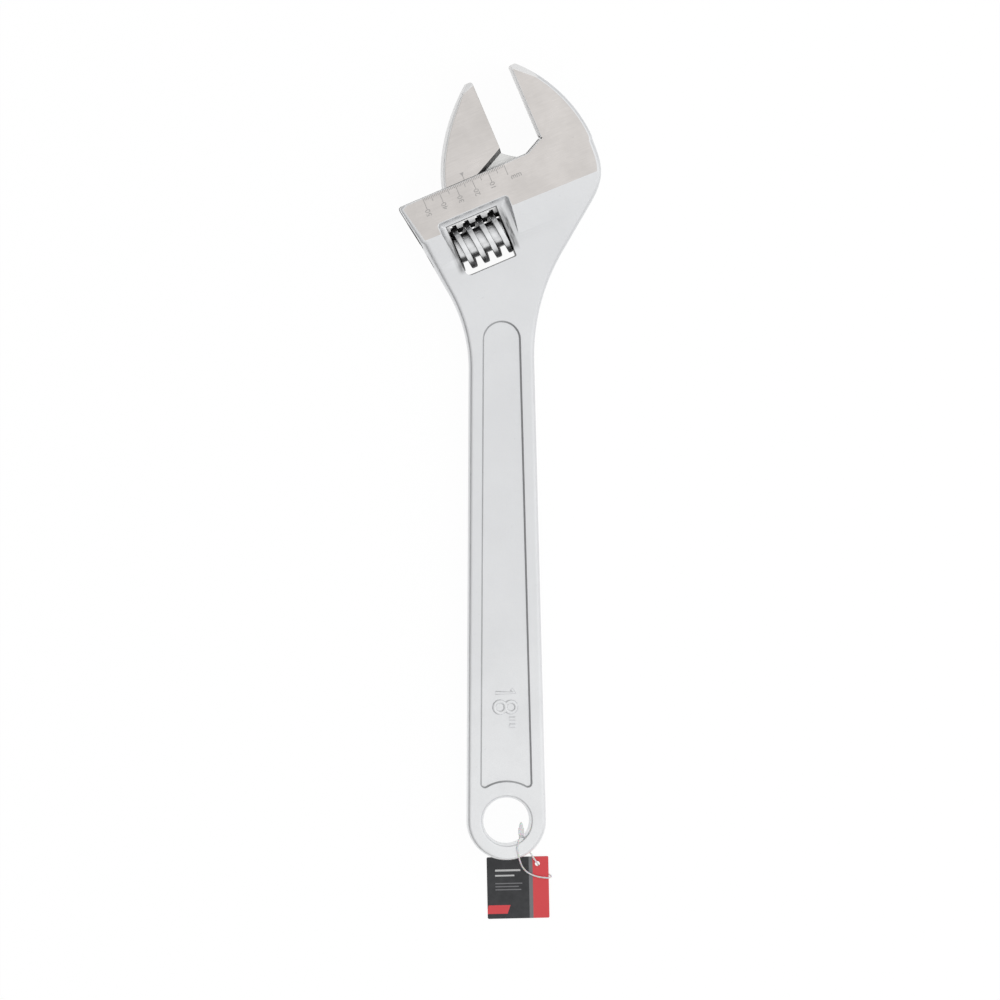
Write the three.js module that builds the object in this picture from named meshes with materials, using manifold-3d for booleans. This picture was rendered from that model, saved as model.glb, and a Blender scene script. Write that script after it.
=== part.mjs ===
// Adjustable wrench, 18 in size, lying flat on the back of its head.
//
// Frame: millimetres, +Z up. The origin is on the resting face, where the handle's centre line crosses the
// middle of the ground band of the head. +Y runs along the handle towards the jaws. The head is turned by
// JAW_ANGLE: its own axes are u, along the slide and towards the fixed jaw, and v, along the jaws.

import * as THREE from 'three';
import { mergeVertices } from 'three/addons/utils/BufferGeometryUtils.js';
import Module from 'manifold-3d';

const wasm = await Module();
wasm.setup();

// ---- Driving dimensions (mm, degrees) -------------------------------------------------------------------

// Handle
const HOLE_TO_BAND = 362.9;        // hang hole's centre to the middle of the band
const EYE_RADIUS = 22.4;           // outside of the eye
const HANG_HOLE_RADIUS = 13.2;     // narrowest part of the hang hole
const HANG_HOLE_FLARE = 1.5;       // how much wider the hole is at its rims
const HANG_HOLE_LAND = 5.0;        // length of the hole's straight middle
const NECK_HALF_WIDTH = 17.9;      // narrowest half width, just under the head
const NECK_TO_BAND = 97;           // where the neck ends and the head starts to widen
const HANDLE_THICKNESS = 13;
const RAIL_WIDTH = 7.7;            // plain rail left round the recessed panel
const PANEL_DEPTH = 1.5;
const PANEL_TO_BAND = 77;          // the panel's round end to the middle of the band
const PANEL_CORNER = 2.4;          // corner radius at the eye's end of the panel
const PANEL_WALL = 0.9;            // width of the panel's sloping wall

// Head
const JAW_ANGLE = 22.5;
const HEAD_THICKNESS = 28;
const BAND_HEIGHT = 22;
const HEAD_REAR = 57.2;            // band's middle to the head's rear corner, along u
const REAR_LEAN = 8.4;             // lean of the head's rear side from v
const REAR_NECK_RADIUS = 78;       // concave radius between the rear side and the handle
const FRONT_NECK_RADIUS = 119;     // concave radius between the handle and the head's front
const FRONT_FLARE = 30;            // angle of the head's front edge from the handle
const HEAD_FRONT = 59.2;           // band's middle to the widest point of the front, along u
const REAR_CORNER = 1.6;
const FLARE_LENGTH = 33;           // straight part of the front edge
const WIDEST_AT = 5;               // height of the widest point, along v
const SHOULDER_REACH = 12.5;       // how softly the shoulder bends
const BORDER_DROP = 2.2;           // how much lower the band's lower border lies at the front

// Fixed jaw
const JAW_FACE = 32.1;             // gripping face of the fixed jaw, along u
const JAW_TIP = 60.8;              // top of both jaws, along v
const FACE_ROOT = 17.0;            // lower end of the fixed gripping face, along v
const THROAT_SLOPE = 22.5;         // slope of the throat under the fixed face
const TIP_WIDTH = 3.4;             // flat of the jaw tips
const TIP_ROUND = 0.9;             // corner of the movable jaw's tip
const FIXED_TIP_ROUND = 1.7;
const RELIEF_RADIUS = 0.9;         // corner relief at the root of the fixed face
const FIXED_BACK = [[0, 0.34], [0.38, 0.75]];      // how its back curves: shares of its reach along u and v

// Movable jaw
const OPENING_AT_REST = 24;
const JAW_THICKNESS = 27;
const HORN_LENGTH = 38.2;          // foot of the movable jaw, behind its gripping face
const CHIN = 20;                   // lower end of the movable gripping face, along v, at the jaw's faces
const HEEL_SLOPE = 24.5;           // slope of the jaw's underside from the chin down to the foot
const HEEL_DRAFT = 12.5;           // lean of the underside from the jaw's faces to the neck
const NECK_THICKNESS = 9;
const NOSE_REACH = 8;              // how far the neck reaches past the gripping face, at the band's edge
const HORN_BACK = [[0.517, 0.3], [0.88, 0.684]];   // how its back curves: shares of its reach along u and v

// Slide and rack
const SLIDE_RADIUS = 9.2;
const SLIDE_BELOW_BAND = 6.5;      // slide's axis below the band's middle, along v
const SLIDE_BEHIND = 60;           // slide's rear end behind the gripping face
const SLIDE_AHEAD = 10;            // slide's front end ahead of the gripping face
const RACK_TIP = 2.2;              // width of a tooth's tip
const RACK_ROOT_GAP = 3.4;         // width of a gap at its bottom
const SLIDE_CHAMFER = 1;

// Worm
const WORM_LEAD = 7.6;
const WORM_RADIUS = 13;
const WORM_ROOT_RADIUS = 7.8;
const WORM_CREST = 1.9;
const WORM_THREAD_BASE = 3.5;
const WORM_LENGTH = 30;
const WORM_CENTRE = -21.6;         // along u
const WORM_END_CHAMFER = 1.4;
const CREST_CHAMFER = 0.5;
const PIN_RADIUS = 3;
const PIN_HEAD_RADIUS = 4;
const PIN_HEAD_LENGTH = 9;
const PIN_SEAT_DEPTH = 9;          // pin's end in the wall ahead of the worm
const PIN_SUNK = 1.2;              // pin's end below the head's rear side
const PIN_CHAMFER = 0.5;
const DRIVER_SLOT_WIDTH = 1.2;
const DRIVER_SLOT_DEPTH = 1.4;
const SPRING_WIRE = 1.1;
const SPRING_RADIUS = 4.3;         // middle of the wire
const SPRING_LENGTH = 11;
const SPRING_TURNS = 5;

// Window of the worm
const WINDOW_CORNER = 3.2;
const WINDOW_BELOW_WORM = 2.2;     // window's lower edge to the worm's crests
const WINDOW_ABOVE_RACK = 1.2;     // window's upper edge to the bottoms of the rack's gaps
const DISH_DEPTH = 3.1;            // floor of the thumb dish below the band's face
const DISH_SLOPE = 60;             // steepest slope of its hollow walls, at the rim
const DISH_ABOVE = 3.5;            // dish's rim above the window
const DISH_BEHIND = 4.6;           // dish's rim behind the window
const DISH_AHEAD = 7.2;            // dish's rim ahead of the window
const DISH_BELOW = 12;             // how far the dish's lower end, in the open, runs past the window
const DISH_NARROWING = 1.4;        // how much nearer its lower corners are on each side
const DISH_CORNER = 3;             // corner radius of its rim

// Edges
const FORGED_EDGE = 2.4;
const GROUND_EDGE = 0.5;
const REAR_EDGE = 3.8;             // edge of the head's rear side, just below the band
const BACK_EDGE = 1.9;             // edges of the jaws' backs
const TIP_EDGE = 0.8;              // the same edges at the tips
const FORGING_DRAFT = 3;
const BACK_DRAFT = 1;

// Clearances
const RUNNING_GAP = 0.3;
const SMALLEST_CORNER = 0.3;       // of the dish's floor
const WORM_TO_RACK = 0.9;          // rack's tips to the worm's root
const CREST_TO_RACK = 0.9;         // worm's crests to the rack's root

// Tag set: places are given from the point of the resting face under the hang hole's centre
const TAG_WIDTH = 35.5;
const TAG_HEIGHT = 35.6;
const TAG_THICKNESS = 0.6;
const TAG_HOLE_RADIUS = 1.4;
const TAG_HOLE_AT = [11.4, 13.6];  // from the tag's middle
const TAG_AT = [7.1, -39.9, 1.32];
const TAG_TURN = [1.9, -2.25, 0.6];
const LOCK_LENGTH = 7.6;
const LOCK_WIDTH = 3.2;
const LOCK_THICKNESS = 2.4;
const LOCK_AT = [8.3, -4.7, 18.9];
const LOOP_DIAMETER = 0.9;

// The filament's way round the eye and through the tag, from its lock and back to it
const LOOP_ROUTE = [
  [7.6, -9.0, 19.2], [7.0, -10.5, 20.7], [6.2, -12.6, 21.5], [5.9, -15.4, 21.5], [6.2, -18.4, 21.5],
  [6.9, -21.3, 20.8], [7.6, -23.6, 18.6], [8.3, -25.5, 15.2], [9.4, -27.5, 11.0], [11.0, -29.6, 7.0],
  [13.2, -31.5, 4.3], [16.0, -32.9, 3.4], [19.0, -33.8, 3.4], [22.2, -34.3, 3.6], [24.6, -34.4, 3.5],
  [26.2, -33.8, 2.3], [25.0, -32.6, 1.15], [22.8, -31.0, 0.95], [20.8, -29.3, 0.95], [19.3, -27.7, 1.3],
  [18.5, -26.4, 2.5], [17.7, -25.2, 4.0], [16.4, -23.2, 5.2], [14.6, -20.5, 5.9], [12.6, -17.5, 6.1],
  [10.8, -14.8, 6.1], [9.4, -12.6, 6.1], [8.5, -10.9, 6.7], [8.0, -9.8, 8.4], [8.0, -9.3, 11.0],
  [8.4, -9.1, 14.2], [8.9, -9.0, 16.8], [9.1, -9.0, 18.4],
];

// ---- Worked out from them -------------------------------------------------------------------------------

const rad = THREE.MathUtils.degToRad;
const headHalf = HEAD_THICKNESS / 2;
const handleHalf = HANDLE_THICKNESS / 2;
const bandHalf = BAND_HEIGHT / 2;
const slideV = -SLIDE_BELOW_BAND;
const wormV = slideV - SLIDE_RADIUS - WORM_TO_RACK - WORM_ROOT_RADIUS;
const rackRootV = wormV + WORM_RADIUS + CREST_TO_RACK;
const windowHalf = WORM_LENGTH / 2 + RUNNING_GAP;
const windowLow = wormV - WORM_RADIUS - WINDOW_BELOW_WORM;
const windowHigh = rackRootV + WINDOW_ABOVE_RACK;
const jawFaceAtRest = JAW_FACE - OPENING_AT_REST;
const chinDrop = ((JAW_THICKNESS / 2) * Math.tan(rad(HEEL_DRAFT))) / Math.cos(rad(HEEL_SLOPE));

const FORGED = { round: FORGED_EDGE, draft: Math.tan(rad(FORGING_DRAFT)) };
const BACK = { round: BACK_EDGE, draft: Math.tan(rad(BACK_DRAFT)) };
const GROUND = { round: GROUND_EDGE, draft: 0 };
const REAR = { round: REAR_CORNER, draft: 0 };
const HEEL = { round: GROUND_EDGE, draft: Math.tan(rad(HEEL_DRAFT)) };

const vec = (x, y) => new THREE.Vector2(x, y);
const jawDirection = vec(-Math.sin(rad(JAW_ANGLE)), Math.cos(rad(JAW_ANGLE)));
const slideDirection = vec(Math.cos(rad(JAW_ANGLE)), Math.sin(rad(JAW_ANGLE)));

// A point of the head, given along u and v, in the handle's axes.
function head(u, v) {
  return slideDirection.clone().multiplyScalar(u).addScaledVector(jawDirection, v);
}

// ---- Solids ---------------------------------------------------------------------------------------------

function toSolid(geometry) {
  const bare = geometry.index ? geometry.toNonIndexed() : geometry.clone();
  bare.deleteAttribute('normal');
  bare.deleteAttribute('uv');
  const merged = mergeVertices(bare, 1e-4);
  const index = merged.index.array;
  const triangles = [];
  for (let i = 0; i < index.length; i += 3) {
    const [a, b, c] = [index[i], index[i + 1], index[i + 2]];
    if (a !== b && b !== c && c !== a) triangles.push(a, b, c);
  }
  return new wasm.Manifold(new wasm.Mesh({
    numProp: 3,
    vertProperties: new Float32Array(merged.attributes.position.array),
    triVerts: new Uint32Array(triangles),
  }));
}

function toGeometry(solid) {
  const mesh = solid.getMesh();
  const geometry = new THREE.BufferGeometry();
  geometry.setAttribute('position', new THREE.BufferAttribute(mesh.vertProperties, 3));
  geometry.setIndex(new THREE.BufferAttribute(mesh.triVerts, 1));
  geometry.computeVertexNormals();
  return geometry;
}

function fromPoints(points, faces) {
  const geometry = new THREE.BufferGeometry();
  geometry.setAttribute('position', new THREE.Float32BufferAttribute(points.flat(), 3));
  geometry.setIndex(faces.flat());
  return geometry;
}

// Faces between closed rings of `count` points each, the first and last ring closed by caps(ring number).
function ringFaces(rings, count, caps) {
  const faces = [];
  for (let ring = 0; ring + 1 < rings; ring += 1) {
    for (let i = 0; i < count; i += 1) {
      const low = ring * count;
      const high = low + count;
      const next = (i + 1) % count;
      faces.push([low + i, low + next, high + next], [low + i, high + next, high + i]);
    }
  }
  const top = (rings - 1) * count;
  caps(rings - 1).forEach(([a, b, c]) => faces.push([top + a, top + b, top + c]));
  caps(0).forEach(([a, b, c]) => faces.push([c, b, a]));
  return faces;
}

const NEARLY_STRAIGHT = Math.sin(rad(20));

// How far a corner moves when its two edges move inwards by their own distances. Where the edges run on
// almost straight, it moves by the mean of the two.
function cornerShift(before, corner, after, insetBefore, insetAfter) {
  const a = corner.clone().sub(before).normalize();
  const b = after.clone().sub(corner).normalize();
  const normalA = vec(-a.y, a.x);
  const normalB = vec(-b.y, b.x);
  const cross = normalA.cross(normalB);
  if (Math.abs(cross) < NEARLY_STRAIGHT) {
    const mean = normalA.clone().add(normalB).normalize();
    return mean.multiplyScalar((insetBefore + insetAfter) / 2 / mean.dot(normalA));
  }
  return vec(
    (insetBefore * normalB.y - insetAfter * normalA.y) / cross,
    (insetAfter * normalA.x - insetBefore * normalB.x) / cross,
  );
}

// A closed form of rings round one outline. Each ring gives, for a corner, how far its two edges lie inside
// the outline, and its height. caps(points) lists the triangles that close the first and the last ring.
function ringForm(outline, rings, caps = polygonCap) {
  const count = outline.length;
  const around = (i) => outline[(i + count) % count];
  const placed = rings.map((ring) => outline.map((corner, i) => {
    const { insetBefore, insetAfter, z } = ring(i, (i + count - 1) % count);
    const shift = cornerShift(around(i - 1), corner, around(i + 1), insetBefore, insetAfter);
    return { flat: corner.clone().add(shift), z };
  }));
  const points = placed.flat().map(({ flat, z }) => [flat.x, flat.y, z]);
  const cap = (ring) => caps(placed[ring].map(({ flat }) => flat));
  return fromPoints(points, ringFaces(rings.length, count, cap));
}

function polygonCap(points) {
  return THREE.ShapeUtils.triangulateShape(points, []);
}

// A prism whose walls may lean: layers are [inset, z] from the bottom up.
function layered(outline, layers) {
  const ring = ([inset, z]) => () => ({ insetBefore: inset, insetAfter: inset, z });
  return ringForm(outline, layers.map(ring));
}

// The same layers on the other face.
function mirrored(layers) {
  return layers.map(([inset, z]) => [inset, -z]).reverse();
}

function prism(outline, low, high) {
  return layered(outline, [[0, low], [0, high]]);
}

// A forged or ground plate, alike on both faces: halfs holds half its thickness at each corner, and finishes
// the finish of the edge that leaves each corner.
function plate(outline, halfs, finishes, caps = polygonCap) {
  const steps = 3;
  const ringAt = (angle, side) => (i, previous) => {
    const half = halfs[i];
    const inset = ({ round, draft }) => (half - round) * draft + round * (1 - Math.cos(angle));
    const round = Math.min(finishes[i].round, finishes[previous].round);
    const z = side * (half - round * (1 - Math.sin(angle)));
    return { insetBefore: inset(finishes[previous]), insetAfter: inset(finishes[i]), z };
  };
  const angles = Array.from({ length: steps + 1 }, (_, k) => (k * Math.PI) / 2 / steps);
  const rings = [
    ...angles.map((angle) => ringAt(angle, -1)).reverse(),
    () => ({ insetBefore: 0, insetAfter: 0, z: 0 }),
    ...angles.map((angle) => ringAt(angle, 1)),
  ];
  return ringForm(outline, rings, caps);
}

// A form turned about the u axis at height v. The profile lists [distance along u, radius].
function turned(profile, v = 0, segments = 48) {
  const geometry = new THREE.LatheGeometry(profile.map(([u, r]) => vec(r, u)), segments);
  geometry.rotateZ(-Math.PI / 2);
  geometry.translate(0, v, 0);
  return geometry;
}

function rod(from, to, radius, v = 0, chamfer = 0, segments = 48) {
  const profile = chamfer > 0
    ? [[from, 0], [from, radius - chamfer], [from + chamfer, radius],
      [to - chamfer, radius], [to, radius - chamfer], [to, 0]]
    : [[from, 0], [from, radius], [to, radius], [to, 0]];
  return turned(profile, v, segments);
}

// A section of [u, radius] points, listed anticlockwise, swept round the u axis and moved along it by one
// lead in each turn.
function helix(section, lead, from, to, stepsPerTurn) {
  const steps = Math.round((to - from) * stepsPerTurn);
  const points = [];
  for (let step = 0; step <= steps; step += 1) {
    const turn = from + ((to - from) * step) / steps;
    const angle = turn * 2 * Math.PI;
    section.forEach(([u, r]) => {
      points.push([u + lead * turn, r * Math.cos(angle), r * Math.sin(angle)]);
    });
  }
  const cap = () => polygonCap(section.map(([u, r]) => vec(u, r)));
  return fromPoints(points, ringFaces(steps + 1, section.length, cap));
}

function subtractAll(solid, geometries) {
  return geometries.reduce((rest, geometry) => rest.subtract(toSolid(geometry)), solid);
}

function inHeadAxes(geometry) {
  return geometry.rotateZ(rad(JAW_ANGLE));
}

// A cubic curve whose two inner control points are given as shares of the way along x and y.
function bulge(from, to, first, second) {
  const at = ([x, y]) => vec(from.x + (to.x - from.x) * x, from.y + (to.y - from.y) * y);
  return new THREE.CubicBezierCurve(from, at(first), at(second), to);
}

// Points of a quarter circle that starts at the given angle and runs anticlockwise.
function roundCorner(centre, radius, from, steps) {
  const arc = new THREE.EllipseCurve(centre.x, centre.y, radius, radius, from, from + Math.PI / 2, false, 0);
  return arc.getPoints(steps);
}

// ---- Outline of the body --------------------------------------------------------------------------------

const FLARE_STEPS = 14;
const rearSide = (v) => -HEAD_REAR + (bandHalf - v) * Math.tan(rad(REAR_LEAN));

// The concave arc between the handle and the head: side is 1 at the front and -1 at the rear.
function neckArc(side, radius, angle) {
  const centre = side * (NECK_HALF_WIDTH + radius);
  const start = side > 0 ? Math.PI : 0;
  return new THREE.EllipseCurve(
    centre, -NECK_TO_BAND, radius, radius, start, start - side * rad(angle), side > 0, 0,
  );
}

function joined(...curves) {
  const path = new THREE.CurvePath();
  path.curves = curves;
  return path;
}

// Share of a path's length at which its height along v first reaches the given one.
function shareAt(path, v) {
  let [low, high] = [0, 1];
  for (let i = 0; i < 30; i += 1) {
    const middle = (low + high) / 2;
    const reached = path.getPointAt(middle).dot(jawDirection) > v;
    [low, high] = reached ? [low, middle] : [middle, high];
  }
  return low;
}

function stations(path, from, to, steps) {
  return Array.from({ length: steps + 1 }, (_, k) => path.getPointAt(from + ((to - from) * k) / steps));
}

// The rear edge from the neck to the lower border of the band.
function rearEdge() {
  const arc = neckArc(-1, REAR_NECK_RADIUS, JAW_ANGLE + REAR_LEAN);
  const border = head(rearSide(-bandHalf), -bandHalf);
  return joined(arc, new THREE.LineCurve(arc.getPoint(1), border));
}

// The front edge from the neck round the shoulder to the widest point of the head.
function frontEdge() {
  const arc = neckArc(1, FRONT_NECK_RADIUS, FRONT_FLARE);
  const flare = vec(Math.sin(rad(FRONT_FLARE)), Math.cos(rad(FRONT_FLARE)));
  const start = arc.getPoint(1);
  const end = start.clone().addScaledVector(flare, FLARE_LENGTH);
  const shoulder = new THREE.CubicBezierCurve(
    end,
    end.clone().addScaledVector(flare, SHOULDER_REACH),
    head(HEAD_FRONT, WIDEST_AT - SHOULDER_REACH),
    head(HEAD_FRONT, WIDEST_AT),
  );
  return joined(arc, new THREE.LineCurve(start, end), shoulder);
}

// The head above the lower border of the band, in its own axes, from the widest point round the jaw to the
// rear corner. Each entry is [point, finish of the edge that leaves it].
function headOutline() {
  const tip = vec(JAW_FACE + TIP_WIDTH, JAW_TIP);
  const back = bulge(vec(HEAD_FRONT, WIDEST_AT), tip, ...FIXED_BACK);
  const steps = 14;
  const throatEnd = JAW_FACE - (FACE_ROOT - bandHalf) / Math.tan(rad(THROAT_SLOPE));
  return [
    ...back.getPoints(steps).slice(0, -1).map((point, k) => [point, backFinish(steps - 1 - k)]),
    [tip, GROUND],
    ...roundCorner(vec(JAW_FACE + FIXED_TIP_ROUND, JAW_TIP - FIXED_TIP_ROUND), FIXED_TIP_ROUND, Math.PI / 2, 3)
      .map((point) => [point, GROUND]),
    [vec(JAW_FACE, FACE_ROOT), GROUND],
    [vec(throatEnd, bandHalf), GROUND],
    [vec(-HEAD_REAR + REAR_CORNER, bandHalf), REAR],
    [vec(rearSide(bandHalf - REAR_CORNER), bandHalf - REAR_CORNER), REAR],
  ];
}

// Finish of one of the edges of a jaw's back, counted from its tip.
function backFinish(number) {
  return { ...BACK, round: Math.min(BACK_EDGE, TIP_EDGE * (1 + number / 2)) };
}

// Half of the thickness on the way from the neck, share 0, to the band, share 1: it leaves the handle in a
// hollow and meets the band in a crisp line.
function flareHalf(share) {
  const hollow = 0.6;
  const rise = share < hollow ? share ** 2 / (hollow * (2 - hollow)) : (2 * share - hollow) / (2 - hollow);
  return handleHalf + (headHalf - handleHalf) * rise;
}

// Finish of the rear edge, whose rounding grows from the neck, share 0, to the band, share 1.
function rearFinish(share) {
  return { ...FORGED, round: FORGED_EDGE + (REAR_EDGE - FORGED_EDGE) * share ** 2 };
}

// The whole plate: outline, half thickness, finishes and the triangles of its faces.
function bodyPlate() {
  const corners = [];
  const add = (point, half, finish) => corners.push({ point, half, finish }) - 1;

  const neck = vec(NECK_HALF_WIDTH, HOLE_TO_BAND - NECK_TO_BAND);
  const lean = Math.asin(EYE_RADIUS / neck.length()) - Math.atan2(neck.x, neck.y);
  const eyeArc = new THREE.EllipseCurve(
    0, -HOLE_TO_BAND, EYE_RADIUS, EYE_RADIUS, Math.PI - lean, 2 * Math.PI + lean, false, 0,
  );
  const eye = eyeArc.getPoints(30).map((point) => add(point, handleHalf, FORGED));

  const front = frontEdge();
  const border = shareAt(front, -bandHalf - BORDER_DROP);
  const frontStations = stations(front, 0, border, FLARE_STEPS)
    .map((point, k) => add(point, flareHalf(k / FLARE_STEPS), FORGED));
  const shoulder = stations(front, border, 1, 4).slice(1, -1).map((point) => add(point, headHalf, FORGED));
  const jaw = headOutline().map(([point, finish]) => add(head(point.x, point.y), headHalf, finish));
  const rearStations = stations(rearEdge(), 0, 1, FLARE_STEPS)
    .map((point, k) => ({ point, half: flareHalf(k / FLARE_STEPS), finish: rearFinish(k / FLARE_STEPS) }))
    .reverse()
    .map(({ point, half, finish }) => add(point, half, finish))
    .reverse();

  const polygon = (points, indices) => polygonCap(indices.map((i) => points[i]))
    .map((triangle) => triangle.map((i) => indices[i]));
  const quad = (a, b, c, d) => [[a, b, c], [a, c, d]];
  const caps = (points) => [
    ...polygon(points, eye),
    ...quad(eye[0], eye.at(-1), frontStations[0], rearStations[0]),
    ...frontStations.slice(1).flatMap((next, k) => (
      quad(rearStations[k], frontStations[k], next, rearStations[k + 1])
    )),
    ...polygon(points, [frontStations.at(-1), ...shoulder, ...jaw, rearStations.at(-1)]),
  ];
  return plate(
    corners.map(({ point }) => point),
    corners.map(({ half }) => half),
    corners.map(({ finish }) => finish),
    caps,
  );
}

// ---- Cuts in the body -----------------------------------------------------------------------------------

const OUTSIDE = 120;                // reach of a cut that runs out of the part

function hangHole() {
  const land = HANG_HOLE_LAND / 2;
  const rim = HANG_HOLE_RADIUS + HANG_HOLE_FLARE;
  const profile = [
    vec(0, -headHalf), vec(rim, -headHalf), vec(rim, -handleHalf), vec(HANG_HOLE_RADIUS, -land),
    vec(HANG_HOLE_RADIUS, land), vec(rim, handleHalf), vec(rim, headHalf), vec(0, headHalf),
  ];
  const geometry = new THREE.LatheGeometry(profile, 48);
  geometry.rotateX(Math.PI / 2);
  geometry.translate(0, -HOLE_TO_BAND, 0);
  return geometry;
}

// The recessed panel: a round end under the head, straight sides that keep the rail's width, and a hollow
// end round the eye.
function panelOutline() {
  const panelHalf = (y) => NECK_HALF_WIDTH - RAIL_WIDTH + (-NECK_TO_BAND - y) * sideSlope();
  const endRadius = panelHalf(-PANEL_TO_BAND);
  const endCentre = -PANEL_TO_BAND - endRadius;
  const eyeRadius = HANG_HOLE_RADIUS + HANG_HOLE_FLARE + RAIL_WIDTH;
  const wide = panelHalf(eyeRadius - HOLE_TO_BAND);
  const reach = Math.asin((wide - PANEL_CORNER) / (eyeRadius + PANEL_CORNER));
  const cornerY = -HOLE_TO_BAND + (eyeRadius + PANEL_CORNER) * Math.cos(reach);
  const cornerX = wide - PANEL_CORNER;
  const end = new THREE.EllipseCurve(0, endCentre, endRadius, endRadius, 0, Math.PI, false, 0);
  const left = new THREE.EllipseCurve(
    -cornerX, cornerY, PANEL_CORNER, PANEL_CORNER, Math.PI, 1.5 * Math.PI + reach, false, 0,
  );
  const hollow = new THREE.EllipseCurve(
    0, -HOLE_TO_BAND, eyeRadius, eyeRadius, Math.PI / 2 + reach, Math.PI / 2 - reach, true, 0,
  );
  const right = new THREE.EllipseCurve(
    cornerX, cornerY, PANEL_CORNER, PANEL_CORNER, 1.5 * Math.PI - reach, 2 * Math.PI, false, 0,
  );
  return [
    ...end.getPoints(18), ...left.getPoints(5), ...hollow.getPoints(12).slice(1, -1), ...right.getPoints(5),
  ];
}

// Widening of the handle from the neck to the eye, on each side, per millimetre.
function sideSlope() {
  return (EYE_RADIUS - NECK_HALF_WIDTH) / (HOLE_TO_BAND - NECK_TO_BAND);
}

function panel(side) {
  const floor = handleHalf - PANEL_DEPTH;
  const layers = [
    [PANEL_WALL, floor], [PANEL_WALL * 0.45, floor + PANEL_DEPTH * 0.2], [0, handleHalf], [0, headHalf],
  ];
  return layered(panelOutline(), side > 0 ? layers : mirrored(layers));
}

function windowOutline() {
  const [left, right] = [WORM_CENTRE - windowHalf, WORM_CENTRE + windowHalf];
  const corner = (u, from) => roundCorner(vec(u, windowLow + WINDOW_CORNER), WINDOW_CORNER, from, 5);
  return [
    ...corner(left + WINDOW_CORNER, Math.PI), ...corner(right - WINDOW_CORNER, 1.5 * Math.PI),
    vec(right, windowHigh), vec(left, windowHigh),
  ];
}

// The thumb dish round the window: its hollow walls rise in an arc from a small floor to the rim, and run on
// into the open above it.
function dish(side) {
  const slope = rad(DISH_SLOPE);
  const radius = DISH_DEPTH / (1 - Math.cos(slope));
  const reach = radius * Math.sin(slope);
  const floor = headHalf - DISH_DEPTH;
  const steps = 6;
  const wall = Array.from({ length: steps + 1 }, (_, k) => (slope * k) / steps).map((angle) => (
    { inside: reach - radius * Math.sin(angle), z: floor + radius * (1 - Math.cos(angle)) }
  ));
  const layers = [...wall, { inside: -DISH_DEPTH / Math.tan(slope), z: headHalf + DISH_DEPTH }];
  const rings = layers.map(({ inside, z }) => (
    { ring: dishRing(inside, DISH_CORNER * (1 - inside / reach)), z }
  ));
  const placed = side > 0 ? rings : rings.map(({ ring, z }) => ({ ring, z: -z })).reverse();
  const points = placed.flatMap(({ ring, z }) => ring.map(({ x, y }) => [x, y, z]));
  const cap = (k) => polygonCap(placed[k].ring);
  return fromPoints(points, ringFaces(placed.length, placed[0].ring.length, cap));
}

// The dish's outline that lies the given distance inside its rim.
function dishRing(inside, corner) {
  const left = WORM_CENTRE - windowHalf - DISH_BEHIND + inside;
  const right = WORM_CENTRE + windowHalf + DISH_AHEAD - inside;
  const low = windowLow - DISH_BELOW + inside;
  const high = windowHigh + DISH_ABOVE - inside;
  const round = corner + SMALLEST_CORNER;
  return [
    vec(left + DISH_NARROWING, low), vec(right - DISH_NARROWING, low),
    ...roundCorner(vec(right - round, high - round), round, 0, 4),
    ...roundCorner(vec(left + round, high - round), round, Math.PI / 2, 4),
  ];
}

// The front edge of the neck as it runs down from the gripping face into the slide, from [0, 0] at the
// gripping face and the band's middle.
function noseProfile() {
  return [
    vec(NOSE_REACH + 1, slideV + SLIDE_RADIUS), vec(NOSE_REACH, bandHalf),
    vec(NOSE_REACH * 0.45, bandHalf + (CHIN - bandHalf) * 0.3),
    vec(-GROUND_EDGE, CHIN - chinDrop * (1 - NECK_THICKNESS / JAW_THICKNESS)),
  ];
}

function slot() {
  const half = NECK_THICKNESS / 2 + RUNNING_GAP;
  const shift = vec(JAW_FACE + 2 * RUNNING_GAP, RUNNING_GAP);
  const nose = noseProfile().map((point) => point.add(shift));
  const outline = [
    vec(-OUTSIDE, slideV), vec(nose[0].x, slideV), ...nose,
    vec(nose.at(-1).x - FACE_ROOT, nose.at(-1).y + FACE_ROOT), vec(-OUTSIDE, nose.at(-1).y + FACE_ROOT),
  ];
  return prism(outline, -half, half);
}

function slideBore() {
  return rod(-OUTSIDE, JAW_FACE + SLIDE_AHEAD + 1, SLIDE_RADIUS + RUNNING_GAP, slideV);
}

const pinStart = rearSide(wormV) + PIN_SUNK;
const pinEnd = WORM_CENTRE + windowHalf + PIN_SEAT_DEPTH;

function pinHole() {
  const wide = PIN_HEAD_RADIUS + RUNNING_GAP;
  const narrow = PIN_RADIUS + RUNNING_GAP;
  const step = pinStart + PIN_HEAD_LENGTH + RUNNING_GAP;
  const end = pinEnd + RUNNING_GAP;
  const profile = [[-OUTSIDE, 0], [-OUTSIDE, wide], [step, wide], [step, narrow], [end, narrow], [end, 0]];
  return turned(profile, wormV);
}

function cornerRelief() {
  const geometry = new THREE.CylinderGeometry(RELIEF_RADIUS, RELIEF_RADIUS, HEAD_THICKNESS * 2, 16);
  geometry.rotateX(Math.PI / 2);
  geometry.translate(JAW_FACE + RELIEF_RADIUS / 2, FACE_ROOT - RELIEF_RADIUS / 2, 0);
  return geometry;
}

function body() {
  const inHead = [
    prism(windowOutline(), -headHalf * 2, headHalf * 2), dish(1), dish(-1), slideBore(), slot(), pinHole(),
    cornerRelief(),
  ].map(inHeadAxes);
  return subtractAll(toSolid(bodyPlate()), [hangHole(), panel(1), panel(-1), ...inHead]);
}

// ---- Movable jaw: u starts at its gripping face ---------------------------------------------------------

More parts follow.
